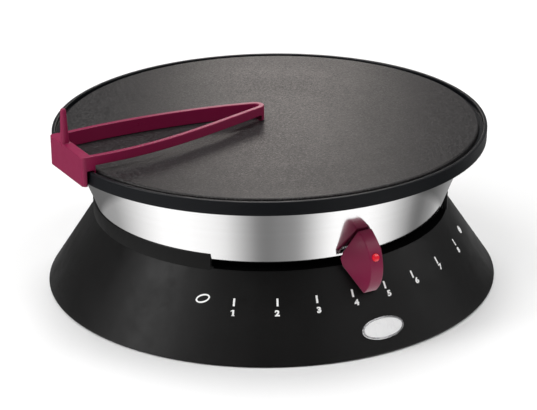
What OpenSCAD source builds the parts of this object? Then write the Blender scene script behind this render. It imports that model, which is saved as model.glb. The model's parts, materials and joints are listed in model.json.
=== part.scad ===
// Electric crepe maker: a round non-stick hotplate on a steel bowl and a black conical base,
// with a heat selector that slides round the waist and a batter spreader that turns on the rim.
// Millimetres. Z is up, the origin is on the table under the middle, and the front faces -Y.
// An azimuth is counted from the front, and grows towards +X.

/* [Base] */
// Radius of the skirt at its bottom edge
base_bottom_r = 178.9; // [172:0.1:186]
// Radius of the skirt at the waist
base_top_r = 139.7; // [136:0.1:143]
// Height of the waist above the table
waist_z = 60; // [54:0.5:68]
// Bevel of the skirt's bottom edge
skirt_edge = 0.9; // [0.4:0.1:1.4]
// Gap between the skirt's bottom edge and the table
base_gap = 0.8; // [0.4:0.1:1.6]
// Wall of the skirt, measured level
skirt_wall = 3.4; // [2.6:0.1:4.2]
// Thickness of the deck that closes the top of the base
deck_t = 3; // [2:0.5:4]
// Width of the deck round its opening
deck_w = 21.7; // [20:0.1:26]
// Height of the collar above the waist
collar_h = 11.5; // [8:0.5:14]
// Thickness of the collar at its top
collar_t = 1.2; // [1:0.1:1.6]
// Radius of the posts that carry the bowl
post_r = 6; // [5:0.5:7]
// How far the posts stand in from the waist
post_in = 12.2; // [11.8:0.1:13]

/* [Bottom cover] */
// Thickness of the bottom cover
cover_t = 2.5; // [2:0.1:3]
// Height of the cover's underside above the table
cover_z = 2; // [1.8:0.1:3]
// Level gap between the cover's edge and the skirt
cover_gap = 0.6; // [0.4:0.1:0.9]
// How far the cover screws stand in from the cover's edge
cover_screw_in = 22.4; // [18:0.1:28]
// Radius of the bosses for the cover screws
cover_boss_r = 5; // [4:0.5:6]
// Number of ventilation slots in the cover
vent_count = 24; // [12:2:36]
// Length of a ventilation slot
vent_len = 24; // [14:1:30]
// Width of a ventilation slot
vent_w = 3; // [2:0.5:4]
// Radius of the circle of ventilation slots
vent_circle_r = 78; // [70:1:84]
// Radius of a rubber foot
foot_r = 9; // [7:0.5:11]
// How far the rubber feet stand in from the cover's edge
foot_in = 34.4; // [30:0.1:44]
// Radius of the stem of a rubber foot
foot_stem_r = 4; // [3:0.5:5]

/* [Power inlet] */
// Height of the middle of the cord inlet
inlet_z = 17; // [15:0.5:20]
// Radius of the bore that takes the mains cord
cord_bore_r = 3.75; // [3.2:0.05:4.2]
// Radius of the barrel of the cord bush
bush_r = 7; // [6:0.5:8]
// Radius of the flange of the cord bush
bush_flange_r = 9.2; // [8.5:0.1:10]
// Thickness of the flange of the cord bush
bush_flange_t = 1.8; // [1:0.2:2]
// Radius of the boss round the inlet
inlet_boss_r = 10.5; // [10:0.5:11]
// How far the boss stands out of the skirt at the inlet's height
inlet_out = 7.3; // [6:0.1:7.8]
// Length of the boss and of the bush's barrel
inlet_len = 16.5; // [14:0.5:18]
// Half the distance between the cord clamp's posts
clamp_half = 12; // [10:0.5:14]
// Distance from the boss's inner end to the cord clamp
clamp_in = 18; // [16:0.5:22]
// Thickness of the cord clamp's bar
clamp_t = 3; // [2:0.5:4]

/* [Bowl] */
// How far the bowl's bottom edge lies inside the waist
bowl_inset = 3.1; // [2.6:0.1:3.4]
// Height of the slot between the base and the bowl
slot_h = 5.8; // [5.2:0.1:7]
// Height of the bowl over both flanges
bowl_h = 52.5; // [48:0.5:58]
// Thickness of the steel sheet
sheet_t = 0.8; // [0.6:0.1:1]
// Width of the bowl's top flange
bowl_flange_w = 8.6; // [7:0.1:9]
// Thickness of the chassis plate
chassis_t = 1.6; // [1.2:0.1:2]
// Gap between the chassis plate's edge and the bowl
chassis_gap = 2.1; // [1.5:0.1:3]

/* [Rim and hotplate] */
// Outer radius of the black rim band
rim_r = 170; // [166:0.5:174]
// Height of the rim band
rim_h = 10.7; // [9.5:0.1:12]
// Width of the rim band's top face
rim_wall = 2.9; // [2.4:0.1:3.4]
// Thickness of the ledge that carries the hotplate
seat_t = 3.2; // [2.6:0.1:4]
// How far the rim band stands out past the bowl
band_overhang = 13.1; // [12.5:0.1:13.5]
// Width of the groove between the hotplate and the rim band
groove_w = 3.9; // [3.6:0.1:4.2]
// Depth of that groove
groove_d = 3.5; // [3:0.1:4]
// Thickness of the hotplate
plate_t = 5.5; // [5:0.1:6.5]
// Radius of the hotplate's rounded shoulder
shoulder_r = 1.4; // [0.8:0.1:2]

/* [Heater] */
// Radius of the heating element's circle
element_circle_r = 105; // [102:0.5:108]
// Radius of the heating element's tube
element_r = 3.5; // [3:0.1:4]
// Angle left open between the element's two ends
element_open = 18; // [14:1:24]
// Height of the element's upright ends
element_leg_h = 14; // [10:1:18]
// Distance of the clamp ring's screws inside the element's circle
ring_screw_in = 13; // [12:0.5:14]
// Width of the clamp ring
ring_w = 27; // [24:0.5:30]
// Thickness of the clamp ring
ring_t = 1.6; // [1.2:0.1:2]
// Gap between the heat reflector's edge and the bowl
reflector_gap = 11; // [9:0.5:20]
// Height of the reflector's turned-up edge
reflector_lip_h = 5; // [3:0.5:6]
// Height of the reflector above the chassis plate
reflector_rise = 36; // [34:0.5:37]
// Radius of the circle of plate studs
stud_circle_r = 60; // [56:1:64]
// Radius of a plate stud
stud_r = 2.5; // [2:0.1:3]
// Outer radius of the stud spacers
spacer_r = 4; // [3.6:0.1:4.5]

/* [Thermostat] */
// Length, depth and height of the thermostat
thermostat_size = [34, 24, 13];
// Thickness of the strap that carries the thermostat
strap_t = 1.5; // [1:0.1:2]
// Half the distance between the strap's screws
strap_half = 23; // [22:0.5:26]
// Height of the sensor slug
slug_h = 10.9; // [10.5:0.1:11.4]
// Radius of the sensor slug
slug_r = 5; // [4:0.5:6]

/* [Selector] */
// Radius of the selector spindle
spindle_r = 3; // [2.5:0.1:3.5]
// Running clearance round the spindle
spindle_clear = 0.08; // [0.05:0.01:0.1]
// Thickness of the selector arm
arm_t = 2; // [1.5:0.1:2.2]
// Width of the arm at the hub
arm_hub_w = 14; // [12:0.5:16]
// Width of the arm where it passes the slot
arm_slot_w = 5; // [4.8:0.1:6.5]
// Angle that the selector points at, counted from the front
selector_rest = -1; // [-40:0.5:40]
// Angle from the front back to where the selector stops at off
off_angle = 46.5; // [45:0.5:48.5]
// Angle from the front to where the selector stops at the hottest mark
hot_angle = 50; // [48:0.5:52]
// Clearance of the arm at the ends of its travel
stop_clear = 0.3; // [0.2:0.1:0.6]
// How far the knob's nose stands out past the waist
knob_out = 24.7; // [23.5:0.1:26]
// How far the knob's top rises above the waist
knob_rise = 27.7; // [26:0.1:29]
// Radius of the curve of the knob's front
knob_front_r = 27.1; // [26:0.1:28.5]
// Half width of the knob's front strip
knob_strip_half = 5.2; // [4.9:0.1:6]
// Half width of the knob at the slot
knob_waist_half = 17.8; // [16.5:0.1:19]
// Wall of the knob
knob_wall = 2; // [1.6:0.1:2.2]
// Radius of the pilot lens
lens_r = 3; // [2.5:0.1:3.2]
// Radius of the pilot lamp
lamp_r = 2; // [1.6:0.1:2]

/* [Scale] */
// Angles of the dashes from the front
mark_angles = [-39.5, -27.5, -16.5, -6, 4.5, 15, 27, 41];
// Angle of the off ring from the front
ring_angle = -48.5; // [-50:0.5:-46]
// Angle of the solid dot from the front
dot_angle = 50.5; // [48:0.5:53]
// Length of a dash, measured upright
tick_h = 4.8; // [4:0.1:5.5]
// Width of a dash
tick_w = 1.5; // [1:0.1:2]
// Height of the marks' middle at the off end
scale_z = 40; // [38:0.5:41]
// How much higher the marks are at the hot end
scale_rise = 3.6; // [0:0.2:5]
// Length and height of the off ring
ring_size = [11.2, 6.4];
// Width of the off ring's line
ring_line = 1.2; // [0.8:0.1:1.6]
// How much the off ring leans
ring_lean = 22; // [0:1:30]
// Radius of the solid dot
dot_r = 3.2; // [2:0.1:4]
// Thickness of the printed marks
print_t = 0.2; // [0.1:0.05:0.3]

/* [Badge] */
// Width of the blank badge
badge_w = 35; // [30:0.5:40]
// Height of the blank badge, measured along the slope
badge_h = 16.4; // [14:0.2:18]
// Height of the badge's middle
badge_z = 16.6; // [14:0.2:20]
// Thickness of the badge
badge_t = 1; // [0.6:0.1:1.4]
// Width of the bright rim round the badge
badge_rim_w = 1.3; // [0.8:0.1:2]
// How far the rim stands above the badge
badge_rim_t = 0.5; // [0.3:0.1:0.8]

/* [Spreader] */
// Height of the spreader's top above the hotplate
spreader_h = 12; // [10:0.5:14]
// Thickness of the spreader's bars
bar_w = 4; // [3:0.2:5]
// Height of the gap under the trailing blade
blade_gap = 4.6; // [2:0.2:5]
// Clearance between the spreader and what it runs on
spreader_clear = 0.4; // [0.3:0.05:0.6]
// How far the block's flat outer face stands out past the rim
block_reach = 3.3; // [3:0.1:6]
// Length of the block on its trailing side
block_front = 28.2; // [26:0.2:31]
// Length of the block on its leading side
block_back = 31.8; // [29:0.2:34]
// Thickness of the block above the rim
block_t = 8.1; // [7.6:0.1:9.6]
// How far the block reaches below the rim's top
block_drop = 11.3; // [9:0.1:12]
// Gap between the block's skirt and the rim
skirt_gap = 1.6; // [0.5:0.1:2]
// Distance from the middle at which the gap ends
gap_in = 6.5; // [6:0.5:30]
// Radius of the block's corners
block_corner_r = 3.5; // [2:0.5:4]
// Radius of the spreader's rounded tip
tip_r = 7.5; // [6.5:0.1:8.5]
// Height of the finger peg above the block
peg_h = 27.5; // [20:0.5:34]
// Radius of the finger peg at its foot
peg_r = 3.5; // [3:0.1:4.2]
// Radius of the finger peg at its tip
peg_tip_r = 2.2; // [1.8:0.1:2.8]

/* [Screws] */
// Radius of the shank of the case screws
screw_r = 1.9; // [1.5:0.1:2.2]
// Radius of the head of the case screws
screw_head_r = 3.6; // [3.2:0.1:4]
// Radius of the shank of the small screws
small_screw_r = 1.25; // [1:0.05:1.4]
// Radius of the head of the small screws
small_head_r = 2.4; // [2.1:0.1:2.6]

/* [Hidden] */
$fn = 96;
fit = 0.05;          // gap between parts of one body that fit into each other
loose = 0.2;         // gap round a screw in the hole that it passes through
overlap = 0.5;       // how far a feature reaches into the wall that it grows from
past = 1;            // how far a cut runs past the face that it opens

deck_hole_r = base_top_r - deck_w;
bowl_hole_r = deck_hole_r + 1;
post_circle_r = base_top_r - post_in;
base_slope = (base_bottom_r - base_top_r) / (waist_z - base_gap);
function base_r(z) = base_top_r + base_slope * (waist_z - z);
slope_angle = atan(base_slope);

deck_z = waist_z - 0.5;
bowl_z = waist_z + slot_h;
bowl_bottom_r = base_top_r - bowl_inset;
bowl_top_r = rim_r - band_overhang;
flange_z = bowl_z + bowl_h;
bowl_slope = (bowl_top_r - bowl_bottom_r) / (bowl_h - sheet_t);
function bowl_r(z) = bowl_bottom_r + bowl_slope * (z - bowl_z);
seat_z = flange_z + seat_t;
plate_z = seat_z + plate_t;
rim_bottom_z = plate_z - rim_h;
rim_inner_r = rim_r - rim_wall;
plate_r = rim_inner_r - groove_w;
plate_gap = 0.4;                     // level gap between the hotplate and its ledge
rim_draft = 0.3;                     // how much the band narrows towards its lower edge
rim_edge = 0.5;                      // bevel of the band's upper edges

collar_clear = 0.35;                 // gap between the collar and the bowl
collar_z = waist_z + collar_h;
collar_r = bowl_r(collar_z) + collar_clear + collar_t;
collar_edge = 0.5;
collar_root = 1.5;

cover_top_z = cover_z + cover_t;
cover_r = base_r(cover_top_z) - skirt_wall - cover_gap;
cover_screw_circle_r = cover_r - cover_screw_in;
cover_boss_top_z = waist_z - (cover_screw_circle_r + cover_boss_r + 1 - base_top_r) / base_slope;
foot_circle_r = cover_r - foot_in;
inlet_face_y = base_r(inlet_z) + inlet_out;
clamp_y = inlet_face_y - inlet_len - clamp_in;
cover_angles = [30, 90, 150, 210, 270, 330];
cover_screw_len = 13;
head_h = 1.7;
head_proud = 0.2;                    // how far a sunk head stands out of its recess
head_gap = 0.5;                      // gap round a sunk head
clamp_gap = 0.3;                     // gap between the cord's bore and the clamp's bar
clamp_post_r = 4;
clamp_hole = 8;
clamp_bar_w = 8;
bush_lip = 0.8;                      // how far the bush's inner end bulges
bush_lip_h = 2.4;
foot_angles = [45, 135, 225, 315];
foot_button_h = 2;
foot_lip = 1;                        // how far a foot's button grips past its stem
foot_edge = 0.6;
post_angles = [75, 120, 165, 195, 240, 285];

bowl_edge = 0.7;                     // bevel where the bowl's wall meets its bottom
chassis_z = bowl_z + sheet_t;
chassis_top_z = chassis_z + chassis_t;
chassis_r = bowl_bottom_r - chassis_gap;
bowl_screw_len = deck_t + bowl_z - deck_z + sheet_t + chassis_t + 1.5;

arm_z = waist_z + (slot_h - arm_t) / 2 + 0.1;
arm_top_z = arm_z + arm_t;
stop_angle = asin((arm_slot_w / 2 + stop_clear) / collar_r);
notch_left = -off_angle - stop_angle;
notch_right = hot_angle + stop_angle;

reflector_z = chassis_top_z + reflector_rise;
reflector_top_z = reflector_z + sheet_t;
reflector_r = bowl_r(reflector_z) - sheet_t - reflector_gap;
element_z = seat_z - element_r - 0.4;
ring_top_z = element_z - element_r - 0.1;
ring_z = ring_top_z - ring_t;
ring_screw_circle_r = element_circle_r - ring_screw_in;
ring_inner_r = ring_screw_circle_r - 6;
ring_angles = [20, 80, 140, 220, 280, 340];
ring_boss_r = 4.6;
ring_screw_len = 7;
ring_notch_half = 16;
stud_angles = [70, 150, 210, 290];
stud_boss_r = 6.5;
stud_nut_h = 4;
stud_clear = 0.1;                    // gap round a stud in what it passes through
stud_thread = 5;                     // how far a stud is screwed into its boss
stud_end_z = chassis_z - stud_nut_h - 1;
stud_boss_z = ring_top_z;

rib_gap = 0.3;                       // gap between the element and the ribs on its two sides
rib_w = 2;
rib_h = 4;
strap_boss_r = 4.5;
strap_screw_len = 5;
strap_over = 6;                      // how far the strap runs past its screws
strap_w = 16;
strap_z = seat_z - slug_h - 0.1 - strap_t;
thermostat_z = strap_z - thermostat_size[2];
spindle_hole = 6;
spindle_top_z = thermostat_z + spindle_hole - 0.4;
thread_r = 2;
bush_seat_z = arm_top_z + 0.6;
spindle_lip = 2;                     // collar that keeps the spindle from dropping out of its bush
spindle_lip_t = 1.6;
spindle_bush_r = 6;
spindle_bush_flange_r = 9;
spindle_bush_top_z = chassis_top_z + 4;
nut_h = 3.2;
nut_ratio = 1.9;                     // corner radius of a nut over its thread's radius

// The knob's side view: a round front, a back that clears the collar, the bowl and the skirt
knob_mid_z = waist_z + 2.1;
knob_nose_r = base_top_r + knob_out;
knob_front_x = knob_nose_r - knob_front_r;
knob_top_z = waist_z + knob_rise;
knob_waist_z = waist_z + slot_h + 0.7;
knob_top_half = knob_strip_half + 0.4;
knob_back_r = collar_r + 0.5;
knob_bowl_gap = 1;
knob_skirt_gap = 1.5;
knob_toe = 0.5;                      // depth of the knob's lower edge
// The front's curve ends where it comes near the skirt's slope
knob_reach = base_r(knob_mid_z) + knob_skirt_gap + knob_toe - knob_front_x;
knob_turn = 1 + base_slope * base_slope;
knob_low_z = knob_mid_z
    + (base_slope * knob_reach - sqrt(pow(knob_front_r, 2) * knob_turn - pow(knob_reach, 2))) / knob_turn;
knob_arc_low = asin((knob_low_z - knob_mid_z) / knob_front_r);
knob_arc_high = asin((knob_top_z - knob_mid_z) / knob_front_r);
knob_arc_steps = 16;
knob_cavity = 6;                     // how far the hollow runs out of the knob's back
lens_angle = 20.5;
lens_x = knob_front_x + knob_front_r * cos(lens_angle);
lens_z = knob_mid_z + knob_front_r * sin(lens_angle);
lens_ear = [5, 7.6, 1];              // plate that keeps the lens from dropping out of the knob
lens_ear_gap = 0.5;
lens_dome_h = 1.2;
lens_back = 5.5;
lamp_len = 6.5;
lamp_gap = 0.2;
pad_in = collar_r + 1.6;
pad_out = knob_nose_r - 8.4;
pad_half = 5;
pad_screw_in = 2.7;                  // how far the holder's screws lie from the pad's ends
holder_h = 9;
holder_thread = 1.2;
lead_r = 0.45;
lead_half = 1.9;
lead_in = 12;
lead_out = pad_out - 5.5;
arm_narrow_r = bowl_bottom_r - 10;

cutter_len = 12;                     // length of the shapes that cut the slope's skin
ring_mid_z = scale_z + 0.9;
function scale_height(a) = scale_z + scale_rise * (a - ring_angle) / (dot_angle - ring_angle);

// The spreader lies along -X at rest; its outline is two curves and a round tip
spreader_z = plate_z + spreader_h;
spreader_low_z = plate_z + spreader_clear;
block_out = rim_r + block_reach;
pocket_end = block_out - block_t;
gap_out = plate_r - 0.7;
curve_steps = 20;
peg_in = 3;                          // how far the peg stands in from the block's outer face
peg_y = 9;
lug_gap = 0.7;                       // gap between the guiding lug and the groove's floor
lug_half = 1;
tip_centre = [-8.2, 8.6];
near_tip_angle = -74.3;
far_tip_angle = 71.6;
bar_start_x = -pocket_end - 0.8;
near_curve = [[bar_start_x, -block_front], [-105, -33], [-60, -14], tip_point(near_tip_angle)];
far_curve = [[bar_start_x, block_back - 0.8], [-110, 36.5], [-50, 30], tip_point(far_tip_angle)];
function tip_point(a) = tip_centre + tip_r * [cos(a), sin(a)];
function curve_at(p, t) = pow(1 - t, 3) * p[0] + 3 * t * pow(1 - t, 2) * p[1]
    + 3 * t * t * (1 - t) * p[2] + pow(t, 3) * p[3];
function curve_turn(p, t) = let (d = 3 * pow(1 - t, 2) * (p[1] - p[0]) + 6 * t * (1 - t) * (p[2] - p[1])
    + 3 * t * t * (p[3] - p[2])) d / norm(d);
// A point beside a curve, at a distance to the left of its run
function beside(p, t, off) = let (d = curve_turn(p, t)) curve_at(p, t) + off * [-d[1], d[0]];

// Routes of the wires inside, as points chosen along their way
wire_r = 1.5;
terminal_y = 106;
terminal_size = [36, 20, 17];
core_x = 11;                         // distance between two of the cord's cores
terminal_top_z = cover_top_z + terminal_size[2];
grommet_y = 70;
grommet_r = 9.5;
grommet_wall = 3;
grommet_lip = 2.2;
grommet_lip_t = 1.5;
earth_at = [25, 80];
earth_top_z = chassis_top_z + 2.5;
air_circle_r = 105;                  // circle of the air holes in the chassis plate
air_r = 4;
element_bend = element_r + 3;
element_turn = element_open / 2 + atan(element_bend / element_circle_r);
leg_circle_r = norm([element_circle_r, element_bend]);
leg_half = leg_circle_r * sin(element_open / 2);
leg_y = leg_circle_r * cos(element_open / 2);
leg_end_z = element_z - element_leg_h;
insulator_r = element_r + 2.4;
insulator_h = 6;
pin_r = 1.4;                         // pins at the ends of the element and of the fuse
pin_h = 6;
tab_x = 9;
tab_w = 6.3;
tab_t = 0.8;
tab_len = 7;
tab_y = thermostat_size[1] / 2 + tab_len;
tab_z = thermostat_z + thermostat_size[2] / 2;
fuse_x = -14;
fuse_y = 62;
fuse_len = 20;
fuse_r = 4;
clip_w = 8;
fuse_z = reflector_z - fuse_r - 0.4;
wire_end = 0.3;                      // each wire stops just short of what it is joined to, in line with it
wire_straight = 4;
wire_top_z = terminal_top_z + wire_end;
rise_z = wire_top_z + wire_straight;
pin_z = leg_end_z - pin_h - wire_end;
bend_z = pin_z - wire_straight;
tag_z = earth_top_z + wire_end;
live_route = [[-core_x, terminal_y, wire_top_z], [-core_x, terminal_y, rise_z], [-core_x, 104, 34],
    [-8, 90, 46], [-4, 72, 58], [-4, 70, 70], [-8, 56, 78], [-tab_x, 40, 95],
    [-tab_x, tab_y + wire_straight + 3, tab_z], [-tab_x, tab_y + wire_straight, tab_z],
    [-tab_x, tab_y + wire_end, tab_z]];
neutral_route = [[core_x, terminal_y, wire_top_z], [core_x, terminal_y, rise_z], [core_x, 104, 34],
    [8, 90, 46], [4, 72, 58], [4, 70, 70], [10, 80, 76], [leg_half, leg_y, bend_z - wire_straight],
    [leg_half, leg_y, bend_z], [leg_half, leg_y, pin_z]];
earth_route = [[0, terminal_y, wire_top_z], [0, terminal_y, rise_z], [0, 104, 34], [0, 90, 45],
    [0, 75, 58], [0, 73, 70], [8, 76, 78], [earth_at[0], earth_at[1], tag_z + 2 * wire_straight],
    [earth_at[0], earth_at[1], tag_z + wire_straight], [earth_at[0], earth_at[1], tag_z]];
link_route_in = [[tab_x, tab_y + wire_end, tab_z], [tab_x, tab_y + wire_straight, tab_z], [tab_x, 32, tab_z],
    [0, 44, 94], [fuse_x, fuse_y - 2 * wire_straight, fuse_z], [fuse_x, fuse_y - wire_straight, fuse_z],
    [fuse_x, fuse_y - wire_end, fuse_z]];
link_route_out = [[fuse_x, fuse_y + fuse_len + wire_end, fuse_z],
    [fuse_x, fuse_y + fuse_len + wire_straight, fuse_z],
    [fuse_x, fuse_y + fuse_len + 2 * wire_straight, fuse_z], [-leg_half, leg_y - 4, bend_z - 9],
    [-leg_half, leg_y, bend_z - wire_straight], [-leg_half, leg_y, bend_z], [-leg_half, leg_y, pin_z]];

// The names of all the pieces

black = "#1b1c1f";
raspberry = "#7a1f45";
steel = "#c9cbcd";
zinc = "#9a9ea3";
ceramic = "#e6e0d2";

// ---- Shared shapes ----

// Places its children at each azimuth on a circle round the middle
module round_at(angles, r, z = 0) {
    for (a = angles) rotate([0, 0, a]) translate([0, -r, z]) children();
}

// A plain tube or ring standing on z
module tube(r_out, r_in, z, h) {
    difference() {
        translate([0, 0, z]) cylinder(r = r_out, h = h);
        translate([0, 0, z - past]) cylinder(r = r_in, h = h + 2 * past);
    }
}

// A pan-head screw with its shank pointing up from z, which is the underside of what it clamps
module screw_up(z, len, shank_r, head_r, head_len) {
    translate([0, 0, z - head_len]) difference() {
        cylinder(r = head_r, h = head_len);
        for (a = [0, 90]) rotate([0, 0, a]) cube([head_r * 1.2, head_r * 0.25, head_len], center = true);
    }
    translate([0, 0, z - overlap / 2]) cylinder(r = shank_r, h = len + overlap / 2);
}

// Smooth curve through the points of a route
function spline_point(p, i, t) = let (
        n = len(p) - 1,
        a = p[max(i - 1, 0)], b = p[i], c = p[min(i + 1, n)], d = p[min(i + 2, n)])
    0.5 * (2 * b + (c - a) * t + (2 * a - 5 * b + 4 * c - d) * t * t + (3 * b - a - 3 * c + d) * t * t * t);
function smooth(p, steps) = concat(
    [for (i = [0 : len(p) - 2]) for (s = [0 : steps - 1]) spline_point(p, i, s / steps)], [p[len(p) - 1]]);

// A round wire swept along a route as one closed skin
module wire(route, r, sides = 8, steps = 4) {
    path = smooth(route, steps);
    last = len(path) - 1;
    side = [1, 0, 0];
    rings = [for (i = [0 : last]) let (
            way = path[min(i + 1, last)] - path[max(i - 1, 0)],
            d = way / norm(way),
            u0 = cross(d, side), u = u0 / norm(u0), v = cross(d, u))
        for (k = [0 : sides - 1]) path[i] + r * (cos(k * 360 / sides) * u + sin(k * 360 / sides) * v)];
    walls = [for (i = [0 : last - 1]) for (k = [0 : sides - 1]) let (
            a = i * sides + k, b = i * sides + (k + 1) % sides)
        [a, a + sides, b + sides, b]];
    cap_a = [for (k = [0 : sides - 1]) k];
    cap_b = [for (k = [sides - 1 : -1 : 0]) last * sides + k];
    polyhedron(points = rings, faces = concat(walls, [cap_a, cap_b]));
}

// ---- Base ----

module base_shell() {
    low_deck_z = deck_z - deck_t;
    color(black) difference() {
        union() {
            rotate_extrude() polygon([
                [base_bottom_r - skirt_edge, base_gap],
                [base_r(base_gap + skirt_edge), base_gap + skirt_edge],
                [base_top_r, waist_z], [base_top_r - skirt_wall, waist_z],
                [base_top_r - skirt_wall, deck_z], [deck_hole_r, deck_z], [deck_hole_r, low_deck_z],
                [base_r(low_deck_z) - skirt_wall, low_deck_z], [base_bottom_r - skirt_wall, base_gap]]);
            collar();
            round_at(post_angles, post_circle_r, deck_z - overlap)
                cylinder(r = post_r, h = bowl_z - deck_z + overlap);
            round_at(cover_angles, cover_screw_circle_r, cover_top_z)
                cylinder(r = cover_boss_r, h = cover_boss_top_z - cover_top_z);
            inlet_boss();
        }
        round_at(post_angles, post_circle_r, low_deck_z - past)
            cylinder(r = screw_r + fit, h = bowl_z - low_deck_z + 2 * past);
        round_at(cover_angles, cover_screw_circle_r, cover_top_z - past)
            cylinder(r = screw_r + fit, h = cover_screw_len + past);
        translate([0, inlet_face_y + past, inlet_z]) rotate([90, 0, 0])
            cylinder(r = bush_r + 2 * fit, h = inlet_len + 2 * past);
    }
}

// The upstanding collar that hugs the bowl; it is open where the selector slides
module collar() {
    inner = bowl_bottom_r + collar_clear;
    rotate([0, 0, notch_right - 90]) rotate_extrude(angle = 360 + notch_left - notch_right) polygon([
        [inner, waist_z - collar_root], [collar_r, waist_z - collar_root],
        [collar_r, collar_z - collar_edge], [collar_r - collar_edge, collar_z],
        [bowl_r(collar_z) + collar_clear, collar_z], [inner, bowl_z]]);
}

module inlet_boss() {
    translate([0, inlet_face_y, inlet_z]) rotate([90, 0, 0]) cylinder(r = inlet_boss_r, h = inlet_len);
}

module bottom_cover() {
    post_top = inlet_z + cord_bore_r + clamp_gap;
    saddle_top = inlet_z - cord_bore_r - clamp_gap;
    color(black) difference() {
        union() {
            translate([0, 0, cover_z]) cylinder(r = cover_r, h = cover_t);
            for (s = [-1, 1]) translate([s * clamp_half, clamp_y, cover_top_z - overlap])
                cylinder(r = clamp_post_r, h = post_top - cover_top_z + overlap);
            translate([-clamp_half, clamp_y - clamp_post_r / 2, cover_top_z - overlap])
                cube([2 * clamp_half, clamp_post_r, saddle_top - cover_top_z + overlap]);
        }
        round_at(cover_angles, cover_screw_circle_r, cover_z - past) {
            cylinder(r = screw_r + loose, h = cover_t + 2 * past);
            cylinder(r = screw_head_r + head_gap, h = past + head_h - head_proud);
        }
        round_at(foot_angles, foot_circle_r, cover_z - past)
            cylinder(r = foot_stem_r + fit, h = cover_t + 2 * past);
        for (s = [-1, 1]) translate([s * clamp_half, clamp_y, post_top - clamp_hole])
            cylinder(r = small_screw_r + fit, h = clamp_hole + past);
        for (i = [0 : vent_count - 1]) rotate([0, 0, (i + 0.5) * 360 / vent_count])
            translate([-vent_w / 2, -vent_circle_r - vent_len / 2, cover_z - past])
                cube([vent_w, vent_len, cover_t + 2 * past]);
    }
}

module rubber_feet() {
    button_r = foot_stem_r + foot_lip;
    top = cover_top_z + foot_button_h;
    color("#2a2a2a") round_at(foot_angles, foot_circle_r) rotate_extrude() polygon([
        [0, 0], [foot_r - foot_edge, 0], [foot_r, foot_edge], [foot_r, cover_z],
        [foot_stem_r, cover_z], [foot_stem_r, cover_top_z], [button_r, cover_top_z],
        [button_r, top - foot_edge], [foot_stem_r - foot_lip, top], [0, top]]);
}

module cover_screws() {
    seat = head_h - head_proud;
    color(zinc) round_at(cover_angles, cover_screw_circle_r)
        screw_up(cover_z + seat, cover_t - seat + cover_screw_len - 1, screw_r, screw_head_r, head_h);
}

// ---- Badge and scale on the slope of the base ----

// A skin on the base's slope between two distances out from it
module slope_skin(from, to, z_low, z_high) {
    rotate_extrude() polygon([[base_r(z_low) + from, z_low], [base_r(z_low) + to, z_low],
        [base_r(z_high) + to, z_high], [base_r(z_high) + from, z_high]]);
}

// Puts a flat shape on the slope at an azimuth and a height, as a bar through the skin
module on_slope(azimuth, z, depth = cutter_len) {
    rotate([0, 0, azimuth]) translate([0, -base_r(z), z]) rotate([90 - slope_angle, 0, 0])
        translate([0, 0, -depth / 2]) linear_extrude(height = depth) children();
}

// The corners of an oval
function oval(w, h, steps = 64) =
    [for (i = [0 : steps - 1]) [w / 2 * cos(i * 360 / steps), h / 2 * sin(i * 360 / steps)]];

module badge_plate() {
    color("#b9bcc0") intersection() {
        slope_skin(fit, badge_t + fit, badge_z - badge_h, badge_z + badge_h);
        on_slope(0, badge_z)
            polygon(oval(badge_w - 2 * badge_rim_w - 2 * fit, badge_h - 2 * badge_rim_w - 2 * fit));
    }
}

module badge_rim() {
    color(steel) intersection() {
        slope_skin(fit, badge_t + badge_rim_t + fit, badge_z - badge_h, badge_z + badge_h);
        difference() {
            on_slope(0, badge_z) polygon(oval(badge_w, badge_h));
            on_slope(0, badge_z, cutter_len + 2)
                polygon(oval(badge_w - 2 * badge_rim_w, badge_h - 2 * badge_rim_w));
        }
    }
}

module scale_marks() {
    color("#e8e8e8") intersection() {
        slope_skin(fit, fit + print_t, scale_z - tick_h, scale_z + scale_rise + tick_h);
        union() {
            for (a = mark_angles) on_slope(a, scale_height(a))
                square([tick_w, tick_h / cos(slope_angle)], center = true);
            difference() {
                on_slope(ring_angle, ring_mid_z) rotate(ring_lean) polygon(oval(ring_size[0], ring_size[1]));
                on_slope(ring_angle, ring_mid_z, cutter_len + 2) rotate(ring_lean)
                    polygon(oval(ring_size[0] - 2 * ring_line, ring_size[1] - 2 * ring_line));
            }
            on_slope(dot_angle, scale_height(dot_angle)) circle(r = dot_r);
        }
    }
}

// ---- Power inlet ----

module cord_bush() {
    color("#242424") translate([0, inlet_face_y, inlet_z]) rotate([90, 0, 0]) difference() {
        union() {
            cylinder(r = bush_r, h = inlet_len);
            translate([0, 0, -bush_flange_t]) cylinder(r = bush_flange_r, h = bush_flange_t);
            translate([0, 0, inlet_len])
                cylinder(r1 = bush_r + bush_lip, r2 = bush_r - bush_lip / 2, h = bush_lip_h);
        }
        translate([0, 0, -bush_flange_t - past])
            cylinder(r = cord_bore_r, h = inlet_len + bush_flange_t + bush_lip_h + 2 * past);
    }
}

module cord_clamp() {
    color("#3a3a3a") translate([0, clamp_y, inlet_z + cord_bore_r + clamp_gap]) difference() {
        union() {
            translate([-clamp_half, -clamp_bar_w / 2, 0]) cube([2 * clamp_half, clamp_bar_w, clamp_t]);
            for (s = [-1, 1]) translate([s * clamp_half, 0, 0])
                cylinder(r = clamp_bar_w / 2, h = clamp_t);
        }
        for (s = [-1, 1]) translate([s * clamp_half, 0, -past])
            cylinder(r = small_screw_r + loose, h = clamp_t + 2 * past);
    }
}

module clamp_screws() {
    top = inlet_z + cord_bore_r + clamp_gap + clamp_t;
    color(zinc) for (s = [-1, 1]) translate([s * clamp_half, clamp_y, top]) mirror([0, 0, 1])
        screw_up(0, clamp_t + clamp_hole - 2, small_screw_r, small_head_r, head_h);
}

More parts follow.
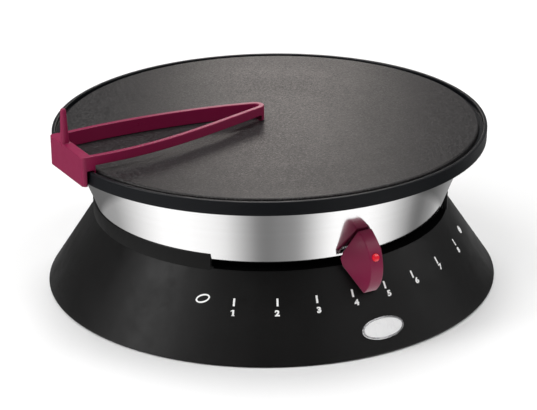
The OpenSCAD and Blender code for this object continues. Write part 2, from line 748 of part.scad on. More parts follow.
module terminal_block() {
    size = terminal_size;
    core_r = 2.2;
    core_depth = 7;
    core_z = 5;
    groove = 1.2;
    groove_low = 3;
    color(ceramic) translate([0, terminal_y, cover_top_z]) difference() {
        translate([-size[0] / 2, -size[1] / 2, 0]) cube(size);
        for (x = [-core_x, 0, core_x]) translate([x, size[1] / 2 + past, core_z]) rotate([90, 0, 0])
            cylinder(r = core_r, h = core_depth + past);
        for (x = [-core_x / 2, core_x / 2]) for (s = [-1, 1])
            translate([x, s * size[1] / 2, groove_low + size[2] / 2])
            cube([groove, 4, size[2]], center = true);
    }
}

// ---- Bowl and chassis ----

module steel_bowl() {
    top_in = bowl_r(flange_z - sheet_t);
    color(steel) difference() {
        rotate_extrude() polygon([
            [bowl_hole_r, bowl_z], [bowl_bottom_r - bowl_edge, bowl_z],
            [bowl_r(bowl_z + bowl_edge), bowl_z + bowl_edge],
            [top_in, flange_z - sheet_t], [top_in + bowl_flange_w, flange_z - sheet_t],
            [top_in + bowl_flange_w, flange_z], [top_in - sheet_t, flange_z],
            [bowl_r(bowl_z + sheet_t) - sheet_t, bowl_z + sheet_t], [bowl_hole_r, bowl_z + sheet_t]]);
        round_at(post_angles, post_circle_r, bowl_z - past)
            cylinder(r = screw_r + loose, h = sheet_t + 2 * past);
    }
}

module bowl_screws() {
    color(zinc) round_at(post_angles, post_circle_r)
        screw_up(deck_z - deck_t, bowl_screw_len, screw_r, screw_head_r, head_h);
}

module chassis_plate() {
    color(zinc) difference() {
        translate([0, 0, chassis_z]) cylinder(r = chassis_r, h = chassis_t);
        translate([0, 0, chassis_z - past]) cylinder(r = spindle_bush_r + fit, h = chassis_t + 2 * past);
        round_at(post_angles, post_circle_r, chassis_z - past)
            cylinder(r = screw_r + fit, h = chassis_t + 2 * past);
        round_at(stud_angles, stud_circle_r, chassis_z - past)
            cylinder(r = stud_r + stud_clear, h = chassis_t + 2 * past);
        translate([0, grommet_y, chassis_z - past])
            cylinder(r = grommet_r + fit, h = chassis_t + 2 * past);
        translate([earth_at[0], earth_at[1], chassis_z - past])
            cylinder(r = small_screw_r + fit, h = chassis_t + 2 * past);
        round_at([30 : 30 : 330], air_circle_r, chassis_z - past)
            cylinder(r = air_r, h = chassis_t + 2 * past);
    }
}

module chassis_grommet() {
    color("#2a2a2a") translate([0, grommet_y, 0]) difference() {
        union() {
            translate([0, 0, chassis_z]) cylinder(r = grommet_r, h = chassis_t);
            for (z = [chassis_z - grommet_lip_t, chassis_top_z]) translate([0, 0, z])
                cylinder(r = grommet_r + grommet_lip, h = grommet_lip_t);
        }
        translate([0, 0, chassis_z - grommet_lip_t - past])
            cylinder(r = grommet_r - grommet_wall, h = chassis_t + 2 * grommet_lip_t + 2 * past);
    }
}

module earth_screw() {
    tag_r = 3.4;
    tag_t = 1;
    head_r = 2.3;
    slot_w = 0.7;
    color("#b98a3a") translate([earth_at[0], earth_at[1], 0]) difference() {
        union() {
            translate([0, 0, chassis_z - 2]) cylinder(r = small_screw_r, h = chassis_t + 2 + overlap);
            translate([0, 0, chassis_top_z]) cylinder(r = tag_r, h = tag_t);
            translate([0, 0, chassis_top_z + overlap])
                cylinder(r = head_r, h = earth_top_z - chassis_top_z - overlap);
        }
        translate([0, 0, earth_top_z]) cube([2 * tag_r, slot_w, 1.2], center = true);
    }
}

module spindle_bush() {
    color("#d8d2c0") difference() {
        union() {
            translate([0, 0, bush_seat_z])
                cylinder(r = spindle_bush_flange_r, h = chassis_z - bush_seat_z);
            translate([0, 0, chassis_z - overlap])
                cylinder(r = spindle_bush_r, h = spindle_bush_top_z - chassis_z + overlap);
        }
        translate([0, 0, bush_seat_z - past])
            cylinder(r = spindle_r + spindle_clear, h = spindle_bush_top_z - bush_seat_z + 2 * past);
    }
}

// ---- Studs that hold the hotplate down ----

module plate_studs() {
    color(zinc) round_at(stud_angles, stud_circle_r, stud_end_z)
        cylinder(r = stud_r, h = stud_boss_z - stud_end_z + stud_thread);
}

module stud_nuts() {
    color(zinc) round_at(stud_angles, stud_circle_r, chassis_z - stud_nut_h) difference() {
        cylinder(r = stud_r * nut_ratio, h = stud_nut_h, $fn = 6);
        translate([0, 0, -past]) cylinder(r = stud_r + fit, h = stud_nut_h + 2 * past);
    }
}

module lower_spacers() {
    color(zinc) round_at(stud_angles, stud_circle_r)
        tube(spacer_r, stud_r + stud_clear, chassis_top_z, reflector_rise);
}

module upper_spacers() {
    color(zinc) round_at(stud_angles, stud_circle_r)
        tube(spacer_r, stud_r + stud_clear, reflector_top_z, stud_boss_z - reflector_top_z);
}

// ---- Heater ----

module heat_reflector() {
    lip_z = reflector_top_z + reflector_lip_h;
    color(steel) difference() {
        rotate_extrude() polygon([[thermostat_size[0], reflector_z], [reflector_r, reflector_z],
            [reflector_r, lip_z], [reflector_r - sheet_t, lip_z],
            [reflector_r - sheet_t, reflector_top_z], [thermostat_size[0], reflector_top_z]]);
        round_at(stud_angles, stud_circle_r, reflector_z - past)
            cylinder(r = stud_r + stud_clear, h = sheet_t + 2 * past);
        for (s = [-1, 1]) translate([s * leg_half, leg_y, reflector_z - past])
            cylinder(r = insulator_r + 2 * stud_clear, h = sheet_t + 2 * past);
    }
}

// A tube bent to an open circle, with both ends turned down
module heating_element() {
    color("#6f7175") {
        rotate([0, 0, 90 + element_turn]) rotate_extrude(angle = 360 - 2 * element_turn)
            translate([element_circle_r, element_z]) circle(r = element_r);
        element_end();
        mirror([1, 0, 0]) element_end();
    }
}

// The quarter bend at one end of the circle, and the upright end below it
module element_end() {
    rotate([0, 0, 90 - element_turn]) translate([element_circle_r, 0, element_z]) {
        translate([0, 0, -element_bend]) rotate([90, 0, 90]) rotate_extrude(angle = 90)
            translate([element_bend, 0]) circle(r = element_r);
        translate([0, element_bend, -element_leg_h])
            cylinder(r = element_r, h = element_leg_h - element_bend);
    }
}

module element_insulators() {
    color(ceramic) for (s = [-1, 1]) translate([s * leg_half, leg_y, 0]) {
        tube(insulator_r, element_r + stud_clear, reflector_z - insulator_h / 2, insulator_h);
        translate([0, 0, leg_end_z - pin_h]) cylinder(r = pin_r, h = pin_h);
    }
}

module clamp_ring() {
    color(zinc) difference() {
        tube(ring_inner_r + ring_w, ring_inner_r, ring_z, ring_t);
        round_at(ring_angles, ring_screw_circle_r, ring_z - past)
            cylinder(r = screw_r + loose, h = ring_t + 2 * past);
        linear_extrude(height = seat_z) polygon([[0, 0],
            [reflector_r * sin(ring_notch_half), reflector_r * cos(ring_notch_half)],
            [-reflector_r * sin(ring_notch_half), reflector_r * cos(ring_notch_half)]]);
    }
}

module ring_screws() {
    color(zinc) round_at(ring_angles, ring_screw_circle_r)
        screw_up(ring_z, ring_screw_len, screw_r, screw_head_r, head_h);
}

// ---- Hotplate and its band ----

module rim_band() {
    ledge_in = bowl_top_r + 0.6;
    step_r = plate_r + plate_gap;
    color(black) rotate_extrude() polygon([
        [ledge_in, flange_z], [bowl_top_r + bowl_flange_w + 0.6, flange_z],
        [bowl_top_r + bowl_flange_w + 0.6, rim_bottom_z], [rim_r - rim_draft, rim_bottom_z],
        [rim_r, plate_z - rim_edge], [rim_r - rim_edge, plate_z], [rim_inner_r + rim_edge, plate_z],
        [rim_inner_r, plate_z - rim_edge], [rim_inner_r, plate_z - groove_d], [step_r, plate_z - groove_d],
        [step_r, seat_z], [ledge_in, seat_z]]);
}

module cooking_plate() {
    arc = [for (a = [0 : 15 : 90])
        [plate_r - shoulder_r * (1 - cos(a)), plate_z - shoulder_r * (1 - sin(a))]];
    rib_in = element_circle_r - element_r - rib_gap;
    rib_out = element_circle_r + element_r + rib_gap;
    boss_h = seat_z - strap_z - strap_t;
    color("#4b4d50") difference() {
        union() {
            rotate_extrude() polygon(concat([[0, seat_z], [plate_r, seat_z]], arc, [[0, plate_z]]));
            round_at(ring_angles, ring_screw_circle_r, ring_top_z)
                cylinder(r = ring_boss_r, h = seat_z - ring_top_z + overlap);
            round_at(stud_angles, stud_circle_r, stud_boss_z)
                cylinder(r = stud_boss_r, h = seat_z - stud_boss_z + overlap);
            for (s = [-1, 1]) translate([s * strap_half, 0, seat_z - boss_h])
                cylinder(r = strap_boss_r, h = boss_h + overlap);
            tube(rib_in, rib_in - rib_w, seat_z - rib_h, rib_h + overlap);
            tube(rib_out + rib_w, rib_out, seat_z - rib_h, rib_h + overlap);
        }
        round_at(ring_angles, ring_screw_circle_r, ring_top_z - past)
            cylinder(r = screw_r + fit, h = ring_screw_len + past);
        round_at(stud_angles, stud_circle_r, stud_boss_z - past)
            cylinder(r = stud_r + fit, h = stud_thread + past + 0.3);
        for (s = [-1, 1]) translate([s * strap_half, 0, strap_z])
            cylinder(r = small_screw_r + fit, h = strap_t + strap_screw_len + 1.5);
    }
}

// ---- Thermostat ----

module thermostat() {
    size = thermostat_size;
    color("#efe9da") difference() {
        union() {
            translate([-size[0] / 2, -size[1] / 2, thermostat_z]) cube(size);
            for (s = [-1, 1]) translate([s * tab_x - tab_w / 2, size[1] / 2 - overlap, tab_z - tab_t / 2])
                cube([tab_w, tab_len + overlap, tab_t]);
        }
        translate([0, 0, thermostat_z - past])
            cylinder(r = spindle_r + spindle_clear, h = spindle_hole + past);
    }
}

module thermostat_strap() {
    half = strap_half + strap_over;
    color(zinc) difference() {
        translate([-half, -strap_w / 2, strap_z]) cube([2 * half, strap_w, strap_t]);
        for (s = [-1, 1]) translate([s * strap_half, 0, strap_z - past])
            cylinder(r = small_screw_r + loose, h = strap_t + 2 * past);
    }
}

module strap_screws() {
    color(zinc) for (s = [-1, 1]) translate([s * strap_half, 0, 0])
        screw_up(strap_z, strap_t + strap_screw_len, small_screw_r, small_head_r, head_h);
}

module sensor_slug() {
    color("#b5713c") translate([0, 0, strap_z + strap_t]) cylinder(r = slug_r, h = slug_h);
}

module thermal_fuse() {
    cap = 2;
    color("#d9d9d4") translate([fuse_x, fuse_y, fuse_z]) rotate([-90, 0, 0]) {
        translate([0, 0, cap]) cylinder(r = fuse_r, h = fuse_len - 2 * cap);
        cylinder(r = pin_r, h = fuse_len);
    }
}

module fuse_clip() {
    wall = 1;
    out = fuse_r + 0.2 + wall;
    tab = 7;
    h = reflector_z - fuse_z + out;
    color(zinc) translate([fuse_x, fuse_y + (fuse_len - clip_w) / 2, fuse_z - out]) difference() {
        union() {
            translate([-out, 0, 0]) cube([2 * out, clip_w, h]);
            translate([out - wall, 0, h - wall]) cube([tab, clip_w, wall]);
        }
        translate([wall - out, -past, wall]) cube([2 * (out - wall), clip_w + 2 * past, h]);
    }
}

// ---- Wiring ----

module wire_live() { color("#7a4a25") wire(live_route, wire_r); }
module wire_neutral() { color("#3a6ea8") wire(neutral_route, wire_r); }
module wire_earth() { color("#4f8a3a") wire(earth_route, wire_r); }
module wire_link() { color("#e8e4da") { wire(link_route_in, wire_r); wire(link_route_out, wire_r); } }

// ---- Heat selector ----

// Turns its children to where the selector points
module at_rest() {
    rotate([0, 0, selector_rest]) children();
}

module selector_spindle() {
    color(zinc) {
        translate([0, 0, arm_z - nut_h - 1])
            cylinder(r = thread_r, h = arm_top_z - arm_z + nut_h + 1 + overlap);
        translate([0, 0, arm_top_z]) cylinder(r = spindle_r, h = spindle_top_z - arm_top_z);
        translate([0, 0, spindle_bush_top_z + 0.4])
            cylinder(r = spindle_r + spindle_lip, h = spindle_lip_t);
    }
}

// Half of the arm's outline on one side
function arm_side(s) = [[s * arm_hub_w / 2, 0], [s * arm_slot_w / 2, -arm_narrow_r],
    [s * arm_slot_w / 2, -pad_in], [s * pad_half, -pad_in], [s * pad_half, -pad_out]];

module selector_arm() {
    left = arm_side(-1);
    right = arm_side(1);
    color(zinc) at_rest() translate([0, 0, arm_z]) difference() {
        linear_extrude(height = arm_t) {
            circle(r = arm_hub_w / 2 + 2);
            polygon(concat(left, [for (i = [len(right) - 1 : -1 : 0]) right[i]]));
        }
        translate([0, 0, -past]) cylinder(r = thread_r + fit, h = arm_t + 2 * past);
        at_pad_screws(-past) cylinder(r = small_screw_r + loose, h = arm_t + 2 * past);
    }
}

module spindle_nut() {
    color(zinc) translate([0, 0, arm_z - nut_h]) difference() {
        cylinder(r = thread_r * nut_ratio, h = nut_h, $fn = 6);
        translate([0, 0, -past]) cylinder(r = thread_r + fit, h = nut_h + 2 * past);
    }
}

// The places of the two screws that hold the lamp holder on the arm
module at_pad_screws(z) {
    for (y = [pad_in + pad_screw_in, pad_out - pad_screw_in]) translate([0, -y, z]) children();
}

// A frame at the lens's place on the knob, with +Z out of the lens
module at_lens(depth) {
    translate([0, -lens_x, lens_z]) rotate([90 - lens_angle, 0, 0]) translate([0, 0, -depth]) children();
}

module lamp_holder() {
    socket_depth = lens_back + lamp_gap + lamp_len + 0.3;
    channel_half = lead_half + 2 * lead_r;
    channel_len = lead_out - pad_in + 1;
    color(ceramic) at_rest() difference() {
        translate([-pad_half, -pad_out, arm_top_z]) cube([2 * pad_half, pad_out - pad_in, holder_h]);
        at_lens(socket_depth) cylinder(r = lamp_r + 0.1, h = socket_depth);
        translate([-channel_half, -pad_in - channel_len, arm_top_z - past])
            cube([2 * channel_half, channel_len + past, past + 3 * lead_r]);
        at_pad_screws(arm_top_z - past) cylinder(r = small_screw_r + fit, h = past + holder_thread);
    }
}

module holder_screws() {
    color(zinc) at_rest() at_pad_screws(0)
        screw_up(arm_z, arm_t + holder_thread - 0.2, small_screw_r, small_head_r, head_h);
}

module pilot_lamp() {
    color("#f0a060") at_rest() at_lens(lens_back + lamp_gap + lamp_len)
        cylinder(r = lamp_r, h = lamp_len);
}

module pilot_lens() {
    dome_r = (lens_r * lens_r + lens_dome_h * lens_dome_h) / (2 * lens_dome_h);
    color("#c01020") at_rest() at_lens(0) {
        translate([0, 0, -lens_back]) cylinder(r = lens_r, h = lens_back);
        translate([0, 0, -knob_wall - lens_ear_gap - lens_ear[2] / 2]) cube(lens_ear, center = true);
        intersection() {
            translate([0, 0, lens_dome_h - dome_r]) sphere(r = dome_r);
            translate([0, 0, -overlap]) cylinder(r = lens_r, h = 2 * lens_dome_h);
        }
    }
}

module lamp_leads() {
    color("#d8d4c8") at_rest() for (s = [-1, 1])
        translate([s * lead_half, -lead_in, arm_top_z + 0.1 + lead_r])
        rotate([90, 0, 0]) cylinder(r = lead_r, h = lead_out - lead_in);
}

// The knob's corners on both sides, drawn in by a wall, as [x, y, z]; its back may reach further in
function knob_corners(wall, back) =
    let (trim = wall / knob_front_r * 180 / PI,
        rows = [
            [knob_top_half, bowl_r(knob_top_z) + knob_bowl_gap, knob_top_z - wall],
            [knob_waist_half - 3.1, knob_back_r, collar_z + 0.5],
            [knob_waist_half, knob_back_r, knob_waist_z],
            [knob_waist_half - 2, knob_back_r, waist_z + 0.3],
            [knob_top_half, base_r(knob_low_z) + knob_skirt_gap, knob_low_z + wall]])
    concat(
        [for (s = [-1, 1]) for (i = [0 : knob_arc_steps]) let (
                a = knob_arc_low + (knob_arc_high - knob_arc_low) * i / knob_arc_steps,
                b = max(min(a, knob_arc_high - trim), knob_arc_low + trim),
                r = knob_front_r - wall)
            [s * (knob_strip_half - wall), -(knob_front_x + r * cos(b)), knob_mid_z + r * sin(b)]],
        [for (s = [-1, 1]) for (c = rows) [s * (c[0] - wall), -(c[1] - back), c[2]]]);

module knob_solid(wall, back) {
    points = knob_corners(wall, back);
    hull() polyhedron(points = points, faces = [for (i = [0 : len(points) - 3]) [i, i + 1, i + 2]]);
}

module knob_shell() {
    rib_half = 6;
    color(raspberry) at_rest() {
        difference() {
            knob_solid(0, 0);
            knob_solid(knob_wall, knob_cavity);
            at_lens(lens_back) cylinder(r = lens_r + 0.1, h = 2 * lens_back);
        }
        intersection() {
            knob_solid(knob_wall / 2, 0);
            for (s = [-1, 1])
                translate([s * (pad_half + fit + rib_half), -pad_out + 4, arm_top_z + holder_h / 2])
                cube([2 * rib_half, knob_wall, holder_h - 1], center = true);
        }
    }
}

// ---- Batter spreader ----

// The plan of the spreader's bars, drawn in by a wall
function leaf(wall) =
    let (steps = 12, turn = (far_tip_angle - near_tip_angle) / steps)
    concat(
        [for (i = [0 : curve_steps]) beside(near_curve, i / curve_steps, wall)],
        [for (i = [1 : steps - 1]) let (a = near_tip_angle + i * turn)
            tip_centre + (tip_r - wall) * [cos(a), sin(a)]],
        [for (i = [curve_steps : -1 : 0]) beside(far_curve, i / curve_steps, -wall)]);

// The strip under the trailing blade that lets the batter out
module blade_gap_plan() {
    side = 3;
    intersection() {
        polygon(concat(
            [for (i = [0 : curve_steps]) beside(near_curve, i / curve_steps, -side)],
            [for (i = [curve_steps : -1 : 0]) beside(near_curve, i / curve_steps, bar_w + 0.5)]));
        translate([-gap_out, -2 * block_front]) square([gap_out - gap_in, 4 * block_front]);
    }
}

module bars_plan() {
    difference() {
        polygon(leaf(0));
        polygon(leaf(bar_w));
    }
}

module block_plan() {
    r = block_corner_r;
    corner = [for (a = [0 : 15 : 90]) [cos(a), sin(a)] * r];
    polygon(concat(
        [[-pocket_end, block_back]],
        [for (c = corner) [-block_out + r - c[1], block_back - r + c[0]]],
        [for (c = corner) [-block_out + r - c[0], -block_front + r - c[1]]],
        [[-pocket_end, -block_front]]));
}

module finger_peg() {
    tip_z = spreader_z + peg_h - peg_tip_r;
    foot_z = spreader_z - 2 * overlap;
    translate([-block_out + peg_in, peg_y, 0]) {
        translate([0, 0, foot_z]) cylinder(r1 = peg_r, r2 = peg_tip_r, h = tip_z - foot_z);
        translate([0, 0, tip_z]) sphere(r = peg_tip_r);
        translate([0, 0, foot_z]) sphere(r = peg_r);
    }
}

module batter_spreader() {
    lug_r = rim_inner_r - groove_w / 2;
    lug_low_z = plate_z - groove_d + lug_gap;
    skirt_low_z = plate_z - block_drop;
    color(raspberry) union() {
        difference() {
            translate([0, 0, spreader_low_z])
                linear_extrude(height = spreader_h - spreader_clear) bars_plan();
            translate([0, 0, spreader_low_z - past])
                linear_extrude(height = blade_gap - spreader_clear + past) blade_gap_plan();
        }
        translate([0, 0, spreader_low_z])
            linear_extrude(height = spreader_h - spreader_clear) block_plan();
        difference() {
            translate([0, 0, skirt_low_z]) linear_extrude(height = block_drop + 2) block_plan();
            translate([0, 0, skirt_low_z - past])
                cylinder(r = rim_r + skirt_gap, h = block_drop + spreader_clear + past);
        }
        intersection() {
            tube(lug_r + lug_half, lug_r - lug_half, lug_low_z, spreader_low_z - lug_low_z + overlap);
            linear_extrude(height = spreader_z) union() {
                block_plan();
                intersection() {
                    bars_plan();
                    translate([-block_out, -2 * block_front])
                        square([block_out - gap_out, 4 * block_front]);
                }
            }
        }
        finger_peg();
    }
}

base_shell();
bottom_cover();
rubber_feet();
cover_screws();
badge_plate();
badge_rim();
scale_marks();
cord_bush();
cord_clamp();
clamp_screws();
terminal_block();
steel_bowl();
bowl_screws();
chassis_plate();
chassis_grommet();
earth_screw();
spindle_bush();
plate_studs();
stud_nuts();
lower_spacers();
upper_spacers();
heat_reflector();
heating_element();
element_insulators();
clamp_ring();
ring_screws();
rim_band();
cooking_plate();
thermostat();
thermostat_strap();
strap_screws();
sensor_slug();
thermal_fuse();
fuse_clip();
wire_live();
wire_neutral();
wire_earth();
wire_link();
selector_spindle();
selector_arm();
spindle_nut();
lamp_holder();
holder_screws();
pilot_lamp();
pilot_lens();
lamp_leads();
knob_shell();
batter_spreader();
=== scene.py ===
import json
import math

import bmesh
import bpy
from mathutils import Matrix, Vector


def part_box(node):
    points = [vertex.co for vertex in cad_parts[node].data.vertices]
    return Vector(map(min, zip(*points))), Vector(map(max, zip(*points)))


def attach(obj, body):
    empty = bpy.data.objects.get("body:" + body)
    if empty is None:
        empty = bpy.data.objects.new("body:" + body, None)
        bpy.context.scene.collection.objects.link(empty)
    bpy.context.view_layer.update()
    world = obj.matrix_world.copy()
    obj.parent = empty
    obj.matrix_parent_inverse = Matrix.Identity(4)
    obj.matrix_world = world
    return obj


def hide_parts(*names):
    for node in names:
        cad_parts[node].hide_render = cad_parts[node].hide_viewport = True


# Electric crepe maker: plate, rim band, steel bowl, black base, raspberry selector and spreader.
# Metres, Z up, the table is at zero and the front of the maker faces -Y.

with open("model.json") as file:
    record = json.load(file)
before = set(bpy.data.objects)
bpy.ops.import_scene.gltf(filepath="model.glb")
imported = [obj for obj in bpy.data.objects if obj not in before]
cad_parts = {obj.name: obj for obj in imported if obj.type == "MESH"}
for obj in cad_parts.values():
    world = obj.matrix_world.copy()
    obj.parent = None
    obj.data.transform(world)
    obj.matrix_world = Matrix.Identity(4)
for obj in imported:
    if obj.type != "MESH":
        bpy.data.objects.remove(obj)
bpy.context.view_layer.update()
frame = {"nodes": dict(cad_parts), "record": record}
nodes = frame["nodes"]
scene = bpy.context.scene
mm = 0.001
weldReach = 0.01 * mm    # Points closer than this are one
noLength = 0.0001 * mm    # Edges shorter than this are dissolved
flatAngle = math.radians(1.0)    # Faces that differ by less than this become one
smoothAngle = math.radians(40)    # Edges flatter than this are shaded smooth
print("frame loaded:", len(nodes), "CAD nodes")


# Small helpers for objects and edit mode

def deselectAll():
    if bpy.context.object and bpy.context.object.mode != "OBJECT":
        bpy.ops.object.mode_set(mode="OBJECT")
    bpy.ops.object.select_all(action="DESELECT")


def makeActive(obj):
    deselectAll()
    obj.select_set(True)
    bpy.context.view_layer.objects.active = obj


def azimuthTurn(degrees):
    return Matrix.Rotation(math.radians(degrees), 4, "Z")


def pickFaces(obj, wanted):
    # Leaves only the wanted faces selected, in edit mode
    mesh = bmesh.from_edit_mesh(obj.data)
    bpy.ops.mesh.select_mode(type="FACE")
    for face in mesh.faces:
        face.select_set(bool(wanted(face.calc_center_median(), face.normal)))
    mesh.select_flush_mode()
    bmesh.update_edit_mesh(obj.data)


def tidyMesh(obj, weld=0.0):
    # Takes out faces without area and, with a weld, joins close points and turns the faces outwards
    makeActive(obj)
    bpy.ops.object.mode_set(mode="EDIT")
    bpy.ops.mesh.select_all(action="SELECT")
    if weld:
        bpy.ops.mesh.remove_doubles(threshold=weld)
    bpy.ops.mesh.dissolve_degenerate(threshold=noLength)
    if weld:
        bpy.ops.mesh.normals_make_consistent(inside=False)
    bpy.ops.object.mode_set(mode="OBJECT")


def joinAll(parts):
    deselectAll()
    for part in parts:
        part.select_set(True)
    bpy.context.view_layer.objects.active = parts[0]
    bpy.ops.object.join()
    return parts[0]


def roundEdges(obj, width, steps, sharperThan, fullWidth=False):
    # Rounds the active object's edges that are sharper than an angle in degrees.
    # Without full width, the shortest edge limits the round.
    rounding = obj.modifiers.new("rounding", "BEVEL")
    rounding.width = width
    rounding.segments = steps
    rounding.limit_method = "ANGLE"
    rounding.angle_limit = math.radians(sharperThan)
    rounding.use_clamp_overlap = not fullWidth
    bpy.ops.object.modifier_apply(modifier="rounding")


def applyPlace(obj):
    makeActive(obj)
    bpy.ops.object.transform_apply(location=True, rotation=True, scale=True)


def finishPiece(obj, name, body, finish, replaced=()):
    applyPlace(obj)
    obj.name = name
    obj.data.name = name
    obj.data.materials.clear()
    obj.data.materials.append(finish)
    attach(obj, body)
    if replaced:
        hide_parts(*replaced)
    return obj


# Camera

cameraSetup = {
    "distance": 1.6987,
    "elevation": 23.957,
    "azimuth": -29.0,
    "yaw": -0.061,
    "pitch": 22.219,
    "roll": -0.886,
    "lens": 141.24,
    "sensor": 36.0,
    "nearest": 0.05,
    "farthest": 200,
}


def makeCamera(setup):
    elevation = math.radians(setup["elevation"])
    turn = Matrix.Rotation(math.radians(setup["azimuth"]), 3, "Z")
    place = turn @ Vector((0, -math.cos(elevation), math.sin(elevation))) * setup["distance"]
    yaw = math.radians(setup["yaw"])
    pitch = math.radians(setup["pitch"])
    roll = math.radians(setup["roll"])
    level = math.cos(pitch)
    ahead = turn @ Vector((math.sin(yaw) * level, math.cos(yaw) * level, -math.sin(pitch)))
    side = ahead.cross(Vector((0, 0, 1))).normalized()
    above = side.cross(ahead)
    rolledSide = side * math.cos(roll) + above * math.sin(roll)
    rolledAbove = above * math.cos(roll) - side * math.sin(roll)
    bpy.ops.object.camera_add()
    camera = bpy.context.object
    camera.name = "mainCamera"
    facing = Matrix((rolledSide, rolledAbove, -ahead)).transposed().to_4x4()
    camera.matrix_world = Matrix.Translation(place) @ facing
    camera.data.sensor_width = setup["sensor"]
    camera.data.lens = setup["lens"]
    camera.data.clip_start = setup["nearest"]
    camera.data.clip_end = setup["farthest"]
    scene.camera = camera


makeCamera(cameraSetup)
print("camera placed")


# Shader building

def addNode(tree, kind, place=(0, 0), **settings):
    node = tree.nodes.new(kind)
    node.location = place
    for key, value in settings.items():
        setattr(node, key, value)
    return node


def join(tree, source, target):
    tree.links.new(source, target)


def newGroup(name, inputs, outputs):
    group = bpy.data.node_groups.new(name, "ShaderNodeTree")
    for label, kind, value in inputs:
        socket = group.interface.new_socket(label, in_out="INPUT", socket_type=kind)
        if value is not None:
            socket.default_value = value
    for label, kind in outputs:
        group.interface.new_socket(label, in_out="OUTPUT", socket_type=kind)
    start = addNode(group, "NodeGroupInput", (-900, 0))
    end = addNode(group, "NodeGroupOutput", (900, 0))
    return group, start, end


def mathNode(tree, operation, a, b=None, place=(0, 0), clamp=False):
    node = addNode(tree, "ShaderNodeMath", place, operation=operation, use_clamp=clamp)
    for index, value in enumerate((a, b)):
        if value is None:
            continue
        if isinstance(value, (int, float)):
            node.inputs[index].default_value = value
        else:
            join(tree, value, node.inputs[index])
    return node.outputs[0]


def noiseNode(tree, vector, scale, detail, roughness, place=(0, 0)):
    node = addNode(tree, "ShaderNodeTexNoise", place)
    node.inputs["Detail"].default_value = detail
    node.inputs["Roughness"].default_value = roughness
    join(tree, vector, node.inputs["Vector"])
    if isinstance(scale, (int, float)):
        node.inputs["Scale"].default_value = scale
    else:
        join(tree, scale, node.inputs["Scale"])
    return node.outputs["Fac"]


def stretchNode(tree, value, low, high, place=(0, 0)):
    node = addNode(tree, "ShaderNodeMapRange", place)
    join(tree, value, node.inputs["Value"])
    node.inputs["From Min"].default_value = low
    node.inputs["From Max"].default_value = high
    return node.outputs["Result"]


# Spark-eroded mould texture: a fine grain over a slow cloudiness

grainTexture = {
    "pitScale": 0.6,    # Against the grain's own scale
    "pitDepth": 0.8,
    "cloudScale": 24.0,
    "cloudLow": 0.3,
    "cloudHigh": 0.7,
}


def makeMouldGrain(setup):
    group, start, end = newGroup(
        "mouldGrain",
        [("Vector", "NodeSocketVector", None), ("Grain Scale", "NodeSocketFloat", 3000.0)],
        [("Height", "NodeSocketFloat"), ("Mottle", "NodeSocketFloat")],
    )
    vector = start.outputs["Vector"]
    grainScale = start.outputs["Grain Scale"]
    fine = noiseNode(group, vector, grainScale, 3.0, 0.6, (-500, 200))
    cells = addNode(group, "ShaderNodeTexVoronoi", (-500, -100), feature="SMOOTH_F1")
    join(group, vector, cells.inputs["Vector"])
    pitScale = mathNode(group, "MULTIPLY", grainScale, setup["pitScale"], (-700, -150))
    join(group, pitScale, cells.inputs["Scale"])
    pits = mathNode(group, "MULTIPLY", cells.outputs["Distance"], setup["pitDepth"], (-250, -100))
    height = mathNode(group, "ADD", fine, pits, (0, 100))
    join(group, height, end.inputs["Height"])
    slow = noiseNode(group, vector, setup["cloudScale"], 4.0, 0.62, (-500, -400))
    mottle = stretchNode(group, slow, setup["cloudLow"], setup["cloudHigh"], (-250, -400))
    join(group, mottle, end.inputs["Mottle"])
    return group


# Fine lines that run round the Z axis, as turning, spinning and polishing leave them

lineTexture = {
    "bandScale": 0.06,    # Against the lines' own scale
    "bandLow": 0.3,
    "bandHigh": 0.7,
}


def makeTurnedLines(setup):
    group, start, end = newGroup(
        "turnedLines",
        [("Vector", "NodeSocketVector", None), ("Line Scale", "NodeSocketFloat", 2500.0),
         ("Wander", "NodeSocketFloat", 3.0)],
        [("Lines", "NodeSocketFloat"), ("Bands", "NodeSocketFloat")],
    )
    split = addNode(group, "ShaderNodeSeparateXYZ", (-750, 150))
    join(group, start.outputs["Vector"], split.inputs[0])
    x, y, z = split.outputs
    square = mathNode(group, "ADD", mathNode(group, "MULTIPLY", x, x, (-600, 300)),
                      mathNode(group, "MULTIPLY", y, y, (-600, 150)), (-450, 250))
    radius = mathNode(group, "SQRT", square, None, (-300, 250))
    angle = mathNode(group, "ARCTAN2", y, x, (-600, 0))
    # The angle goes round as a sine and a cosine, so no seam shows behind
    wander = start.outputs["Wander"]
    sine = mathNode(group, "SINE", angle, None, (-450, 0))
    cosine = mathNode(group, "COSINE", angle, None, (-450, -120))
    across = mathNode(group, "ADD", radius, z, (-150, 250))
    along = mathNode(group, "MULTIPLY", across, start.outputs["Line Scale"], (0, 250))
    spot = addNode(group, "ShaderNodeCombineXYZ", (150, 100))
    join(group, along, spot.inputs[0])
    join(group, mathNode(group, "MULTIPLY", sine, wander, (-300, 0)), spot.inputs[1])
    join(group, mathNode(group, "MULTIPLY", cosine, wander, (-300, -120)), spot.inputs[2])
    lines = noiseNode(group, spot.outputs[0], 1.0, 3.0, 0.65, (350, 200))
    join(group, lines, end.inputs["Lines"])
    wide = addNode(group, "ShaderNodeVectorMath", (350, -80), operation="SCALE")
    join(group, spot.outputs[0], wide.inputs[0])
    wide.inputs["Scale"].default_value = setup["bandScale"]
    bands = noiseNode(group, wide.outputs[0], 1.0, 2.0, 0.5, (520, -80))
    clear = stretchNode(group, bands, setup["bandLow"], setup["bandHigh"], (700, -80))
    join(group, clear, end.inputs["Bands"])
    return group


# Small spots thrown at random, such as coating flecks, casting grain or dust

fleckTexture = {
    "crispness": 9.0,    # How fast a spot's edge fades
}


